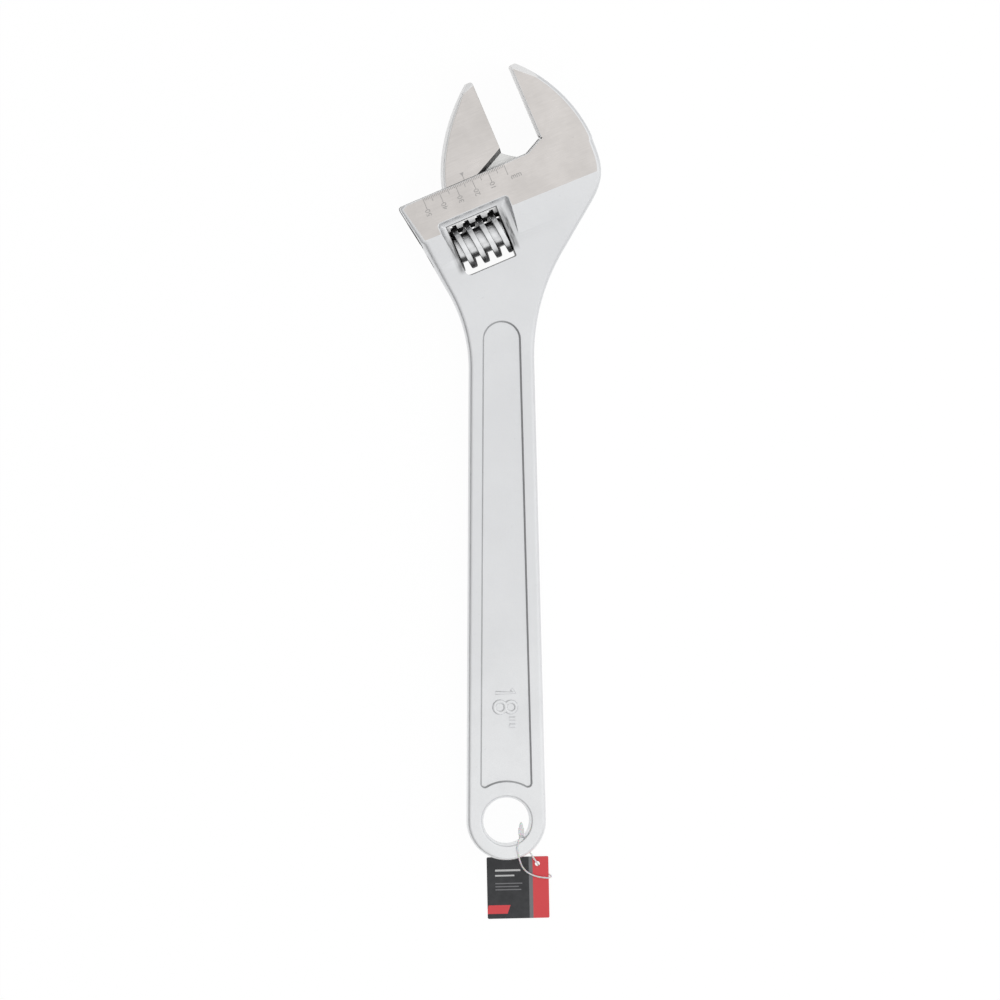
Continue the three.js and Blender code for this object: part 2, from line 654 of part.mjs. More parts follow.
function horn() {
  const foot = bandHalf + RUNNING_GAP;
  const back = bulge(vec(-TIP_WIDTH, JAW_TIP), vec(-HORN_LENGTH, foot), ...HORN_BACK);
  const chin = vec(0, CHIN - chinDrop);
  const heel = vec(-(chin.y - foot) / Math.tan(rad(HEEL_SLOPE)), foot);
  const corners = [
    [chin, GROUND], [vec(0, JAW_TIP - TIP_ROUND), GROUND], [vec(-TIP_ROUND, JAW_TIP), GROUND],
    ...back.getPoints(16).map((point, k) => [point, backFinish(k)]).slice(0, -1),
    [vec(-HORN_LENGTH, foot), GROUND], [heel, HEEL],
  ];
  const half = JAW_THICKNESS / 2;
  const finishes = corners.map(([, finish]) => finish);
  return plate(corners.map(([point]) => point), corners.map(() => half), finishes);
}

function neckWeb() {
  const half = NECK_THICKNESS / 2;
  const rear = -HORN_LENGTH + 2 * FORGED_EDGE;
  const outline = [
    vec(rear, slideV), vec(NOSE_REACH + 1, slideV), ...noseProfile(),
    vec(-2 * FORGED_EDGE, CHIN + FORGED_EDGE), vec(rear + FORGED_EDGE, bandHalf + 2 * FORGED_EDGE),
  ];
  return prism(outline, -half, half);
}

const rackGapCentre = -SLIDE_BEHIND + WORM_LEAD / 2;
const toothLean = WORM_LEAD / (2 * Math.PI * (WORM_RADIUS + WORM_ROOT_RADIUS) / 2);

// One gap of the rack. It leans by the worm's lead angle.
function rackGap(number) {
  const top = rackRootV;
  const tip = slideV - SLIDE_RADIUS;
  const low = tip - 1;
  const tipGap = WORM_LEAD - RACK_TIP;
  const lowGap = tipGap + ((tipGap - RACK_ROOT_GAP) * (tip - low)) / (top - tip);
  const outline = [
    vec(-lowGap / 2, low), vec(lowGap / 2, low), vec(RACK_ROOT_GAP / 2, top), vec(-RACK_ROOT_GAP / 2, top),
  ];
  const geometry = prism(outline, -SLIDE_RADIUS * 1.2, SLIDE_RADIUS * 1.2);
  geometry.applyMatrix4(new THREE.Matrix4().makeShear(0, 0, 0, 0, toothLean, 0));
  geometry.translate(rackGapCentre + number * WORM_LEAD, 0, 0);
  return geometry;
}

function movableJaw() {
  const slide = rod(-SLIDE_BEHIND, SLIDE_AHEAD, SLIDE_RADIUS, slideV, SLIDE_CHAMFER);
  const gaps = Math.floor((SLIDE_BEHIND + SLIDE_AHEAD) / WORM_LEAD);
  const blank = toSolid(horn()).add(toSolid(neckWeb())).add(toSolid(slide));
  return subtractAll(blank, Array.from({ length: gaps }, (_, number) => rackGap(number)));
}

// ---- Worm, pin and spring: u starts at the worm's middle, and the axis is its own -----------------------

const threadPhase = (jawFaceAtRest + rackGapCentre - WORM_CENTRE) / WORM_LEAD;
const springBore = SPRING_RADIUS + SPRING_WIRE / 2 + RUNNING_GAP;

function worm() {
  const half = WORM_LENGTH / 2;
  const root = WORM_ROOT_RADIUS - CREST_CHAMFER;
  const shoulder = WORM_RADIUS - CREST_CHAMFER;
  const crest = WORM_CREST / 2;
  const flat = crest - CREST_CHAMFER;
  const base = WORM_THREAD_BASE / 2;
  const section = [
    [-base, root], [base, root], [crest, shoulder], [flat, WORM_RADIUS], [-flat, WORM_RADIUS],
    [-crest, shoulder],
  ];
  const turns = half / WORM_LEAD + 1;
  const thread = helix(section, WORM_LEAD, -turns, turns, 36);
  thread.rotateX(-2 * Math.PI * threadPhase);
  const trim = rod(-half, half, WORM_RADIUS + WORM_END_CHAMFER / 2, 0, WORM_END_CHAMFER, 36);
  const pinBore = rod(-OUTSIDE, OUTSIDE, PIN_RADIUS + RUNNING_GAP, 0, 0, 24);
  const counterbore = rod(half - SPRING_LENGTH - RUNNING_GAP, OUTSIDE, springBore, 0, 0, 24);
  const core = rod(-half, half, WORM_ROOT_RADIUS, 0, CREST_CHAMFER, 36);
  const blank = toSolid(thread).intersect(toSolid(trim)).add(toSolid(core));
  return subtractAll(blank, [pinBore, counterbore]);
}

function wormPin() {
  const start = pinStart - WORM_CENTRE;
  const end = pinEnd - WORM_CENTRE;
  const shank = turned([
    [start, 0], [start, PIN_HEAD_RADIUS - PIN_CHAMFER], [start + PIN_CHAMFER, PIN_HEAD_RADIUS],
    [start + PIN_HEAD_LENGTH, PIN_HEAD_RADIUS], [start + PIN_HEAD_LENGTH, PIN_RADIUS],
    [end - PIN_CHAMFER, PIN_RADIUS], [end, PIN_RADIUS - PIN_CHAMFER], [end, 0],
  ], 0, 24);
  const driverSlot = new THREE.BoxGeometry(DRIVER_SLOT_DEPTH * 2, DRIVER_SLOT_WIDTH, PIN_HEAD_RADIUS * 3);
  driverSlot.translate(start, 0, 0);
  return subtractAll(toSolid(shank), [driverSlot]);
}

function wormSpring() {
  const end = windowHalf - RUNNING_GAP;
  const lead = (SPRING_LENGTH - SPRING_WIRE) / SPRING_TURNS;
  const section = Array.from({ length: 6 }, (_, k) => (k * Math.PI) / 3).map((angle) => (
    [(SPRING_WIRE / 2) * Math.cos(angle), SPRING_RADIUS + (SPRING_WIRE / 2) * Math.sin(angle)]
  ));
  const geometry = helix(section, lead, 0, SPRING_TURNS, 18);
  geometry.translate(end - SPRING_LENGTH + SPRING_WIRE / 2, 0, 0);
  return toSolid(geometry);
}

// ---- Tag set: the origin is under the hang hole's centre, on the resting face ---------------------------

function tagLoop() {
  const section = new THREE.Shape(
    Array.from({ length: 8 }, (_, k) => (k * Math.PI) / 4)
      .map((angle) => vec(Math.cos(angle), Math.sin(angle)).multiplyScalar(LOOP_DIAMETER / 2)),
  );
  const route = new THREE.CatmullRomCurve3(LOOP_ROUTE.map((point) => new THREE.Vector3(...point)));
  return toSolid(new THREE.ExtrudeGeometry(section, { steps: 66, bevelEnabled: false, extrudePath: route }));
}

function hangTag() {
  const [w, h] = [TAG_WIDTH / 2, TAG_HEIGHT / 2];
  const card = new THREE.Shape([vec(-w, -h), vec(w, -h), vec(w, h), vec(-w, h)]);
  card.holes.push(new THREE.Path().absarc(...TAG_HOLE_AT, TAG_HOLE_RADIUS, 0, 2 * Math.PI, false));
  const options = { depth: TAG_THICKNESS, bevelEnabled: false, curveSegments: 16 };
  return toSolid(new THREE.ExtrudeGeometry(card, options));
}

// The lock of the filament: a flat block with an arrow-shaped barb.
function loopLock() {
  const [w, l] = [LOCK_WIDTH / 2, LOCK_LENGTH / 2];
  const outline = [
    vec(-w, -l), vec(w, -l), vec(w, l * 0.1), vec(w * 0.7, l * 0.1), vec(w * 0.7, l * 0.4),
    vec(w * 0.3, l), vec(-w * 0.3, l), vec(-w * 0.7, l * 0.4), vec(-w * 0.7, l * 0.1), vec(-w, l * 0.1),
  ];
  return toSolid(prism(outline, -LOCK_THICKNESS / 2, LOCK_THICKNESS / 2));
}

// ---- Assembly -------------------------------------------------------------------------------------------

function part(name, solid, color, roughness, metalness) {
  const material = new THREE.MeshStandardMaterial({ color, roughness, metalness });
  const mesh = new THREE.Mesh(toGeometry(solid), material);
  mesh.name = name;
  return mesh;
}

const SATIN_CHROME = [0xdbdddc, 0.42, 1];
const GROUND_CHROME = [0xcfcbc8, 0.3, 1];
const SPRING_STEEL = [0x8d8f92, 0.35, 1];
const CARD = [0x3a3b3f, 0.6, 0];
const NYLON = [0xf2f2f0, 0.35, 0];

const wormJournal = new THREE.Group();
wormJournal.position.set(WORM_CENTRE, wormV, 0);
wormJournal.add(
  part('worm', worm(), ...SATIN_CHROME),
  part('worm_pin', wormPin(), ...SATIN_CHROME),
  part('worm_spring', wormSpring(), ...SPRING_STEEL),
);

const jaw = part('movable_jaw', movableJaw(), ...GROUND_CHROME);
jaw.position.x = jawFaceAtRest;

const headGroup = new THREE.Group();
headGroup.rotation.z = rad(JAW_ANGLE);
headGroup.add(jaw, wormJournal);

const tag = part('hang_tag', hangTag(), ...CARD);
tag.position.set(...TAG_AT);
tag.rotation.set(...TAG_TURN.map(rad));

const lock = part('loop_lock', loopLock(), ...NYLON);
lock.position.set(...LOCK_AT);

const tagSet = new THREE.Group();
tagSet.position.set(0, -HOLE_TO_BAND, -headHalf);
tagSet.add(tag, lock, part('tag_loop', tagLoop(), ...NYLON));

const wrench = new THREE.Group();
wrench.name = 'adjustable_wrench';
wrench.position.z = headHalf;
wrench.add(part('body', body(), ...SATIN_CHROME), headGroup, tagSet);

export default wrench;
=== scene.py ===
"""A long adjustable wrench lying on a pale table.

The forged body, the sliding jaw with its rack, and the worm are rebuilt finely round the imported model
and ride on its bodies. Sizes are in millimetres while a form is shaped, and in metres from the moment
it is a piece.
"""

import logging
import math
from dataclasses import dataclass
from enum import Enum
from typing import Any, Callable, Iterable, Optional, Sequence, Union

import bmesh
import bpy
import numpy as np
from mathutils import Euler, Matrix, Vector


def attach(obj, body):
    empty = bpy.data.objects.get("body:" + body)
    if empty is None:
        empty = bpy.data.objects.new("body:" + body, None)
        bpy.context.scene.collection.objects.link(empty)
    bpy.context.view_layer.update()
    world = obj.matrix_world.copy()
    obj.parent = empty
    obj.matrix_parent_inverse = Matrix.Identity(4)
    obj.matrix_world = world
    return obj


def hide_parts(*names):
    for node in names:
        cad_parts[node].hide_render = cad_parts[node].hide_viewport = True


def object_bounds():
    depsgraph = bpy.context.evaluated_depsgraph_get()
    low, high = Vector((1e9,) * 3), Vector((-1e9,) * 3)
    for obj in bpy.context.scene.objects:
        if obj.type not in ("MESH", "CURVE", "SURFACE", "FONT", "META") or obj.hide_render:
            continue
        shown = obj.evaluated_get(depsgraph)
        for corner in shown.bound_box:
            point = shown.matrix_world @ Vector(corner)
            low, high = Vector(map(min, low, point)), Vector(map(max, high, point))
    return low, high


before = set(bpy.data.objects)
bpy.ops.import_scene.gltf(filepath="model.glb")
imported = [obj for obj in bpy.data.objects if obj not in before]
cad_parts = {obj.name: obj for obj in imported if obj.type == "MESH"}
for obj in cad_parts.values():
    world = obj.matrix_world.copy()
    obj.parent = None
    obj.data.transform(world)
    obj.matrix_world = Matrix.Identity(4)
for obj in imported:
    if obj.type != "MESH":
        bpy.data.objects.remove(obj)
CAD_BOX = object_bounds()

LOG = logging.getLogger("wrench")
MM = 0.001
Socket, Sockets = bpy.types.NodeSocket, bpy.types.bpy_prop_collection
NodeTree, Material = bpy.types.NodeTree, bpy.types.Material
Mesh, Object = bpy.types.Mesh, bpy.types.Object
Value = Union[float, int, tuple, Socket]


# ---- Node trees ----------------------------------------------------------------------------------


class Tree:
    """A node tree, with short calls for its nodes and its links."""

    def __init__(self, tree: NodeTree) -> None:
        """Takes over a tree.

        Args:
            tree: the tree that nodes are added to.
        """
        self.tree = tree

    def add(self, kind: str, inputs: Optional[dict] = None, **settings: Any) -> bpy.types.Node:
        """Adds a node.

        Args:
            kind: the node's type.
            inputs: a value or another node's output, by the name or number of an input.
            **settings: the node's own properties.

        Returns:
            The node.
        """
        node = self.tree.nodes.new(kind)
        for key, value in settings.items():
            setattr(node, key, value)
        for key, value in (inputs or {}).items():
            if isinstance(value, Socket):
                self.tree.links.new(value, node.inputs[key])
            else:
                node.inputs[key].default_value = value
        return node

    def out(self, kind: str, inputs: Optional[dict] = None, **settings: Any) -> Socket:
        """Adds a node, as add does, and returns its first output."""
        return self.add(kind, inputs, **settings).outputs[0]

    def math(self, operation: str, *values: Value) -> Socket:
        """Adds a Math node for an operation on values and returns its output."""
        return self.out("ShaderNodeMath", dict(enumerate(values)), operation=operation)

    def plus(self, first: Value, second: Value) -> Socket:
        """The sum of two values."""
        return self.math("ADD", first, second)

    def minus(self, first: Value, second: Value) -> Socket:
        """The first value less the second."""
        return self.math("SUBTRACT", first, second)

    def times(self, first: Value, second: Value) -> Socket:
        """The product of two values."""
        return self.math("MULTIPLY", first, second)

    def scaled(self, value: Value, factor: Value, base: Value) -> Socket:
        """A value times a factor, on top of a base."""
        return self.math("MULTIPLY_ADD", value, factor, base)

    def mix(self, share: Value, first: Value, second: Value) -> Socket:
        """Mixes two colours and returns the mixed one.

        Args:
            share: how much of the second colour there is.
            first: the first colour.
            second: the second colour.
        """
        return self.add("ShaderNodeMix", {0: share, 6: first, 7: second}, data_type="RGBA").outputs[2]

    def tint(self, mask: Value, share: float, first: Value, second: Value) -> Socket:
        """Mixes a share of the second colour into the first, where a mask lies."""
        return self.mix(self.times(mask, share), first, second)

    def span(self, value: Value, low: float, high: float) -> Socket:
        """How far a value lies on the way from low, 0, to high, 1, with soft ends."""
        inputs = {0: value, 1: low, 2: high, 3: 0.0, 4: 1.0}
        return self.out("ShaderNodeMapRange", inputs, interpolation_type="SMOOTHSTEP")

    def vector(self, x: Value = 0.0, y: Value = 0.0, z: Value = 0.0) -> Socket:
        """A vector of three values."""
        return self.out("ShaderNodeCombineXYZ", {0: x, 1: y, 2: z})

    def parts(self, vector: Value) -> Sockets:
        """The three values of a vector."""
        return self.add("ShaderNodeSeparateXYZ", {0: vector}).outputs

    def put(self, **values: Socket) -> NodeTree:
        """Links values to a group's outputs of the same names and returns the group."""
        end = self.add("NodeGroupOutput")
        for key, value in values.items():
            self.tree.links.new(value, end.inputs[key])
        return self.tree

    def noise(self, place: Value, scale: Value, detail: float = 3.0,
              rough: float = 0.5) -> Socket:
        """Adds a Noise Texture and returns its value.

        Args:
            place: the coordinates that it reads.
            scale: how fine it is.
            detail: how many octaves it has.
            rough: how strong its finer octaves are.
        """
        inputs = {"Vector": place, "Scale": scale, "Detail": detail, "Roughness": rough}
        return self.out("ShaderNodeTexNoise", inputs)


PLAIN_TYPES = {bool: "Bool", int: "Int", float: "Float"}


def node_group(name: str, kind: str, ins: dict, *outs: str) -> tuple[Tree, Sockets]:
    """Makes an empty node group with named inputs and outputs.

    Args:
        name: the group's name.
        kind: the type of its tree.
        ins: the default of each input by its name, or its type where it has no default.
        *outs: the names of its outputs.

    Returns:
        Its tree and the values of its inputs.
    """
    tree = bpy.data.node_groups.new(name, kind)
    for label, default in ins.items():
        plain_type = PLAIN_TYPES.get(type(default))
        socket_type = "NodeSocket" + (plain_type or default)
        socket = tree.interface.new_socket(label, in_out="INPUT", socket_type=socket_type)
        if plain_type:
            socket.default_value = default
    for label in outs:
        socket_type = "NodeSocketGeometry" if label == "Geometry" else "NodeSocketFloat"
        tree.interface.new_socket(label, in_out="OUTPUT", socket_type=socket_type)
    made = Tree(tree)
    return made, made.add("NodeGroupInput").outputs


class ShaderGroups:
    """The shader node groups that several finishes share, each built once."""

    def __init__(self) -> None:
        """Builds all of the groups."""
        self.grain = self._grain()
        self.grind = self._grind()
        self.mottle = self._mottle()
        self.block = self._block()
        self.grime = self._grime()

    @staticmethod
    def _grain() -> NodeTree:
        """The fine pitting that blasting leaves, with a softer swell under it.

        Returns:
            The group, which puts out a height in metres and a fleck mask.
        """
        ins = {"Vector": "Vector", "Pit Scale": 2600.0, "Pit Depth": 1e-5, "Swell Scale": 160.0,
               "Swell Depth": 2e-5}
        tree, given = node_group("blast_grain", "ShaderNodeTree", ins, "Height", "Fleck")
        fine = tree.noise(given["Vector"], given["Pit Scale"], 2.0, 0.6)
        swell = tree.noise(given["Vector"], given["Swell Scale"])
        pits = tree.times(fine, given["Pit Depth"])
        rolls = tree.times(swell, given["Swell Depth"])
        return tree.put(Height=tree.plus(pits, rolls), Fleck=tree.span(fine, 0.35, 0.7))

    @staticmethod
    def _grind() -> NodeTree:
        """The lines that a grinding belt leaves along the X axis of its coordinates.

        Returns:
            The group, which puts out a height in metres and a line mask.
        """
        ins = {"Vector": "Vector", "Line Scale": 3000.0, "Line Length": 0.03, "Line Depth": 4e-6}
        tree, given = node_group("grind_lines", "ShaderNodeTree", ins, "Height", "Line")
        across = tree.vector(given["Line Length"], 1.0, 1.0)
        stretched = tree.out("ShaderNodeVectorMath", {0: given["Vector"], 1: across}, operation="MULTIPLY")
        lines = tree.noise(stretched, given["Line Scale"], 4.0, 0.65)
        height = tree.times(lines, given["Line Depth"])
        return tree.put(Height=height, Line=tree.span(lines, 0.3, 0.72))

    @staticmethod
    def _mottle() -> NodeTree:
        """Broad and middling clouds of tone, as plating and handling leave them.

        Returns:
            The group, which puts out a value round 0.5 and a mask of sparse marks.
        """
        ins = {"Vector": "Vector", "Scale": 40.0, "Marks": 300.0}
        tree, given = node_group("mottle", "ShaderNodeTree", ins, "Cloud", "Mark")
        cloud = tree.noise(given["Vector"], given["Scale"], 4.0, 0.6)
        marks = tree.noise(given["Vector"], given["Marks"], 5.0, 0.75)
        return tree.put(Cloud=tree.span(cloud, 0.25, 0.75), Mark=tree.span(marks, 0.64, 0.72))

    @staticmethod
    def _block() -> NodeTree:
        """A printed block with straight sides, whose left and right sides may lean.

        Returns:
            The group, which puts out a mask that is 1 inside the block.
        """
        ins = {"Vector": "Vector", "Left": 0.0, "Right": 1.0, "Low": 0.0, "High": 1.0, "Lean": 0.0}
        tree, given = node_group("printed_block", "ShaderNodeTree", ins, "Mask")
        x, y, _ = tree.parts(given["Vector"])
        across = tree.minus(x, tree.times(y, given["Lean"]))
        inside = tree.math("GREATER_THAN", across, given["Left"])
        for test, value, side in (
                ("LESS_THAN", across, "Right"), ("GREATER_THAN", y, "Low"), ("LESS_THAN", y, "High")):
            inside = tree.times(inside, tree.math(test, value, given[side]))
        return tree.put(Mask=inside)

    @staticmethod
    def _grime() -> NodeTree:
        """A soft block of streaky painted shade, darkest at its right side, for the shade in the thumb dish
        beside the window.

        Returns:
            The group, which puts out how dark a point is.
        """
        ins = {"Vector": "Vector", "Left": 0.0, "Right": 1.0, "Low": 0.0, "High": 1.0, "Streaks": 0.5}
        tree, given = node_group("grime", "ShaderNodeTree", ins, "Mask")
        x, y, _ = tree.parts(given["Vector"])
        across, rise = (tree.math("DIVIDE", tree.minus(value, given[low]),
                                  tree.minus(given[high], given[low]))
                        for value, low, high in ((x, "Left", "Right"), (y, "Low", "High")))
        ramp = tree.times(tree.span(across, 0.0, 0.9), tree.span(across, 1.3, 1.0))
        ends = tree.times(tree.span(rise, 0.0, 0.15), tree.span(rise, 1.0, 0.55))
        inputs = {0: given["Vector"], 1: (1.0, 0.16, 0.3)}
        stretched = tree.out("ShaderNodeVectorMath", inputs, operation="MULTIPLY")
        noise = tree.noise(stretched, 900.0, 3.0, 0.6)
        clean = tree.times(given["Streaks"], tree.span(noise, 0.6, 0.38))
        streak = tree.minus(1.0, clean)
        return tree.put(Mask=tree.times(tree.times(ramp, ends), streak))


GROUPS = ShaderGroups()


# ---- Finishes ------------------------------------------------------------------------------------


class Surface:
    """A new material with its Principled BSDF, its tree and its coordinates."""

    def __init__(self, name: str, **constants: Any) -> None:
        """Makes the material.

        Args:
            name: its name.
            **constants: values of the shader's own sockets, with _ for each space.
        """
        self.material = bpy.data.materials.new(name)
        self.material.use_nodes = True
        self.tree = Tree(self.material.node_tree)
        self.shader = self.material.node_tree.nodes["Principled BSDF"]
        for key, value in constants.items():
            self.shader.inputs[key.replace("_", " ")].default_value = value
        self.place = self.tree.add("ShaderNodeTexCoord").outputs["Object"]

    def group(self, tree: NodeTree, **inputs: Value) -> Sockets:
        """Places one of the shared groups on the material's coordinates.

        Args:
            tree: the group.
            **inputs: its values, with _ for each space in their names.

        Returns:
            The group's outputs.
        """
        given = {key.replace("_", " "): value for key, value in inputs.items()}
        return self.tree.add("ShaderNodeGroup", {"Vector": self.place, **given}, node_tree=tree).outputs

    def turned(self, angle: float) -> Socket:
        """The coordinates turned about the Z axis by an angle in radians."""
        return self.tree.out("ShaderNodeMapping", {"Vector": self.place, "Rotation": (0, 0, angle)})

    def feed(self, **sockets: Socket) -> None:
        """Links outputs to the shader's inputs, with _ for each space in their names."""
        for key, value in sockets.items():
            self.tree.tree.links.new(value, self.shader.inputs[key.replace("_", " ")])

    def bump(self, height: Socket) -> None:
        """Raises the surface by a height in metres."""
        inputs = {"Height": height, "Strength": 1.0, "Distance": 1.0}
        self.feed(Normal=self.tree.out("ShaderNodeBump", inputs))


HEAD_SHADE_ALONG = (-0.38, -0.19)  # where the painted shade towards the head sets in, in metres along the handle
MARK_TONE = (0.45, 0.46, 0.47, 1)
# the colour of the painted shade in the thumb dish
PAINTED_SHADE_TONE = (0.03, 0.03, 0.03, 1)


@dataclass(frozen=True)
class BlastedChrome:
    """Satin chrome over a blasted forging: an even fine grain with slow clouds of tone."""

    name: str
    pale: tuple = (0.9, 0.908, 0.916, 1)
    dark: tuple = (0.77, 0.778, 0.79, 1)
    roughness: float = 0.42
    pit_depth: float = 3e-5
    swell_depth: float = 6e-5
    metallic: float = 1.0
    grime: tuple = ()
    fade: float = 0.0

    def material(self) -> Material:
        """Builds the material; towards the head its tone goes over to the dark one by the share fade, as
        painted shade that leaves the eye end lighter.
        """
        made = Surface(self.name, Metallic=self.metallic)
        tree = made.tree
        # painted shade: the body darker towards the head and lighter towards the eye
        near = tree.times(tree.span(tree.parts(made.place)[1], *HEAD_SHADE_ALONG), self.fade)
        grain = made.group(GROUPS.grain, Pit_Depth=self.pit_depth, Swell_Depth=self.swell_depth)
        mottle = made.group(GROUPS.mottle, Scale=26.0, Marks=240.0)
        tone = tree.tint(mottle["Cloud"], 0.5, self.pale, self.dark)
        tone = tree.mix(near, tone, self.dark)
        fleck = tree.tint(grain["Fleck"], 0.4, tone, self.dark)
        marked = tree.tint(mottle["Mark"], 0.2, fleck, MARK_TONE)
        place = made.turned(-AXES.angle) if self.grime else None
        # painted shade in the thumb dish beside the window, mixed into the colour
        for left, right, low, high, amount in self.grime:
            block = made.group(GROUPS.grime, Vector=place, Left=left * MM, Right=right * MM,
                               Low=low * MM, High=high * MM)
            marked = tree.tint(block["Mask"], amount, marked, PAINTED_SHADE_TONE)
        spread = tree.scaled(mottle["Cloud"], 0.07, self.roughness - 0.03)
        rough = tree.scaled(grain["Fleck"], 0.06, spread)
        made.feed(Base_Color=marked, Roughness=rough)
        made.bump(grain["Height"])
        return made.material


@dataclass(frozen=True)
class GroundSteel:
    """Ground and plated steel, a little warmer, with fine lines along the belt's direction."""

    name: str
    pale: tuple = (0.67, 0.64, 0.62, 1)
    dark: tuple = (0.57, 0.545, 0.525, 1)
    roughness: float = 0.3
    lines: float = 0.0
    depth: float = 5e-6

    def material(self) -> Material:
        """Builds the material."""
        made = Surface(self.name, Metallic=1.0)
        tree = made.tree
        place = made.turned(-self.lines)
        grind = made.group(GROUPS.grind, Vector=place, Line_Depth=self.depth)
        mottle = made.group(GROUPS.mottle, Scale=45.0, Marks=420.0)
        tone = tree.tint(mottle["Cloud"], 0.6, self.pale, self.dark)
        lined = tree.tint(grind["Line"], 0.4, tone, self.dark)
        marked = tree.tint(mottle["Mark"], 0.25, lined, (0.42, 0.41, 0.4, 1))
        spread = tree.scaled(mottle["Cloud"], 0.08, self.roughness - 0.04)
        rough = tree.scaled(grind["Line"], 0.1, spread)
        made.feed(Base_Color=marked, Roughness=rough)
        made.bump(grind["Height"])
        return made.material


@dataclass(frozen=True)
class PlainSteel:
    """Turned or drawn steel without plating: darker, with oil in its hollows; its near-black and grey copies
    here stand for painted shade.
    """

    name: str
    pale: tuple = (0.42, 0.42, 0.425, 1)
    dark: tuple = (0.24, 0.24, 0.245, 1)
    roughness: float = 0.38

    def material(self) -> Material:
        """Builds the material."""
        made = Surface(self.name, Metallic=1.0)
        tree = made.tree
        grind = made.group(GROUPS.grind, Line_Length=1.0, Line_Scale=1500.0, Line_Depth=8e-6)
        mottle = made.group(GROUPS.mottle, Scale=120.0, Marks=500.0)
        tone = tree.mix(mottle["Cloud"], self.pale, self.dark)
        oiled = tree.tint(mottle["Mark"], 0.5, tone, (0.08, 0.07, 0.06, 1))
        rough = tree.scaled(mottle["Cloud"], 0.14, self.roughness)
        made.feed(Base_Color=oiled, Roughness=rough)
        made.bump(grind["Height"])
        return made.material


@dataclass(frozen=True)
class Engraving:
    """The matt bottom of an etched line, a shade darker than the ground steel round it."""

    name: str = "etched_line"
    pale: tuple = (0.56, 0.55, 0.54, 1)
    dark: tuple = (0.45, 0.44, 0.435, 1)

    def material(self) -> Material:
        """Builds the material."""
        made = Surface(self.name, Metallic=0.85)
        grain = made.group(GROUPS.grain, Pit_Scale=6000.0, Pit_Depth=1e-5, Swell_Depth=0.0)
        made.feed(Base_Color=made.tree.mix(grain["Fleck"], self.pale, self.dark),
                  Roughness=made.tree.scaled(grain["Fleck"], 0.15, 0.5))
        made.bump(grain["Height"])
        return made.material


@dataclass(frozen=True)
class MilkyNylon:
    """Milky nylon that lets some light through, with the faint skin that moulding leaves."""

    name: str = "milky_nylon"
    colour: tuple = (0.93, 0.93, 0.93, 1)

    def material(self) -> Material:
        """Builds the material."""
        made = Surface(self.name, Transmission_Weight=0.2, IOR=1.45, Subsurface_Weight=0.3,
                       Subsurface_Scale=0.001)
        mottle = made.group(GROUPS.mottle, Scale=500.0, Marks=1500.0)
        made.feed(Base_Color=made.tree.mix(mottle["Cloud"], self.colour, (0.85, 0.86, 0.86, 1)),
                  Roughness=made.tree.scaled(mottle["Cloud"], 0.12, 0.28))
        made.bump(made.tree.times(mottle["Cloud"], 2e-5))
        return made.material


class Ink(Enum):
    """The colours that the tag is printed in."""

    CHARCOAL = (0.028, 0.029, 0.032, 1)
    SLATE = (0.060, 0.061, 0.065, 1)
    RED = (0.76, 0.07, 0.08, 1)
    GREY = (0.20, 0.20, 0.21, 1)
    PALE = (0.62, 0.62, 0.62, 1)


@dataclass(frozen=True)
class Print:
    """One printed block of the tag, placed in millimetres from the tag's middle."""

    ink: Ink
    left: float
    right: float
    low: float
    high: float
    lean: float = 0.0


@dataclass(frozen=True)
class PrintedCard:
    """Coated card: printed blocks on its front, plain board on its cut edges."""

    name: str
    prints: tuple[Print, ...]

    def material(self) -> Material:
        """Builds the material, which reads the card's own map in millimetres."""
        made = Surface(self.name, Specular_IOR_Level=0.35, Coat_Weight=0.12, Coat_Roughness=0.25)
        tree = made.tree
        where = tree.out("ShaderNodeUVMap", uv_map="card")
        mottle = made.group(GROUPS.mottle, Scale=220.0, Marks=900.0)
        colour = tree.tint(mottle["Cloud"], 0.5, Ink.CHARCOAL.value, Ink.SLATE.value)
        for block in self.prints:
            mask = made.group(GROUPS.block, Vector=where, Left=block.left, Right=block.right,
                              Low=block.low, High=block.high, Lean=block.lean)
            worn = tree.scaled(mottle["Mark"], -0.25, 1.0)
            share = tree.times(mask["Mask"], worn)
            colour = tree.mix(share, colour, block.ink.value)
        fibre = tree.noise(made.place, 2400.0, 4.0, 0.7)
        made.feed(Base_Color=colour, Roughness=tree.scaled(fibre, 0.2, 0.34))
        made.bump(tree.times(fibre, 1.2e-5))
        return made.material


@dataclass(frozen=True)
class CardEdge:
    """Pale board where the card is cut, with its fibres showing."""

    name: str = "card_edge"

    def material(self) -> Material:
        """Builds the material."""
        made = Surface(self.name, Roughness=0.8)
        fibre = made.tree.noise(made.place, 3500.0, 5.0, 0.7)
        made.feed(Base_Color=made.tree.mix(fibre, (0.80, 0.79, 0.76, 1), (0.55, 0.54, 0.52, 1)))
        made.bump(made.tree.times(fibre, 2e-5))
        return made.material


# ---- Objects and meshes --------------------------------------------------------------------------


def placed(name: str, data: Any) -> Object:
    """A new object with that data, in the scene."""
    made = bpy.data.objects.new(name, data)
    bpy.context.scene.collection.objects.link(made)
    return made


def evaluated(made: Object) -> Mesh:
    """The plain mesh that an object's modifiers result in."""
    depsgraph = bpy.context.evaluated_depsgraph_get()
    return bpy.data.meshes.new_from_object(made.evaluated_get(depsgraph), depsgraph=depsgraph)


def plain(holder: Object) -> Mesh:
    """The plain mesh of an object that is used up by it."""
    mesh = evaluated(holder)
    bpy.data.objects.remove(holder)
    return mesh


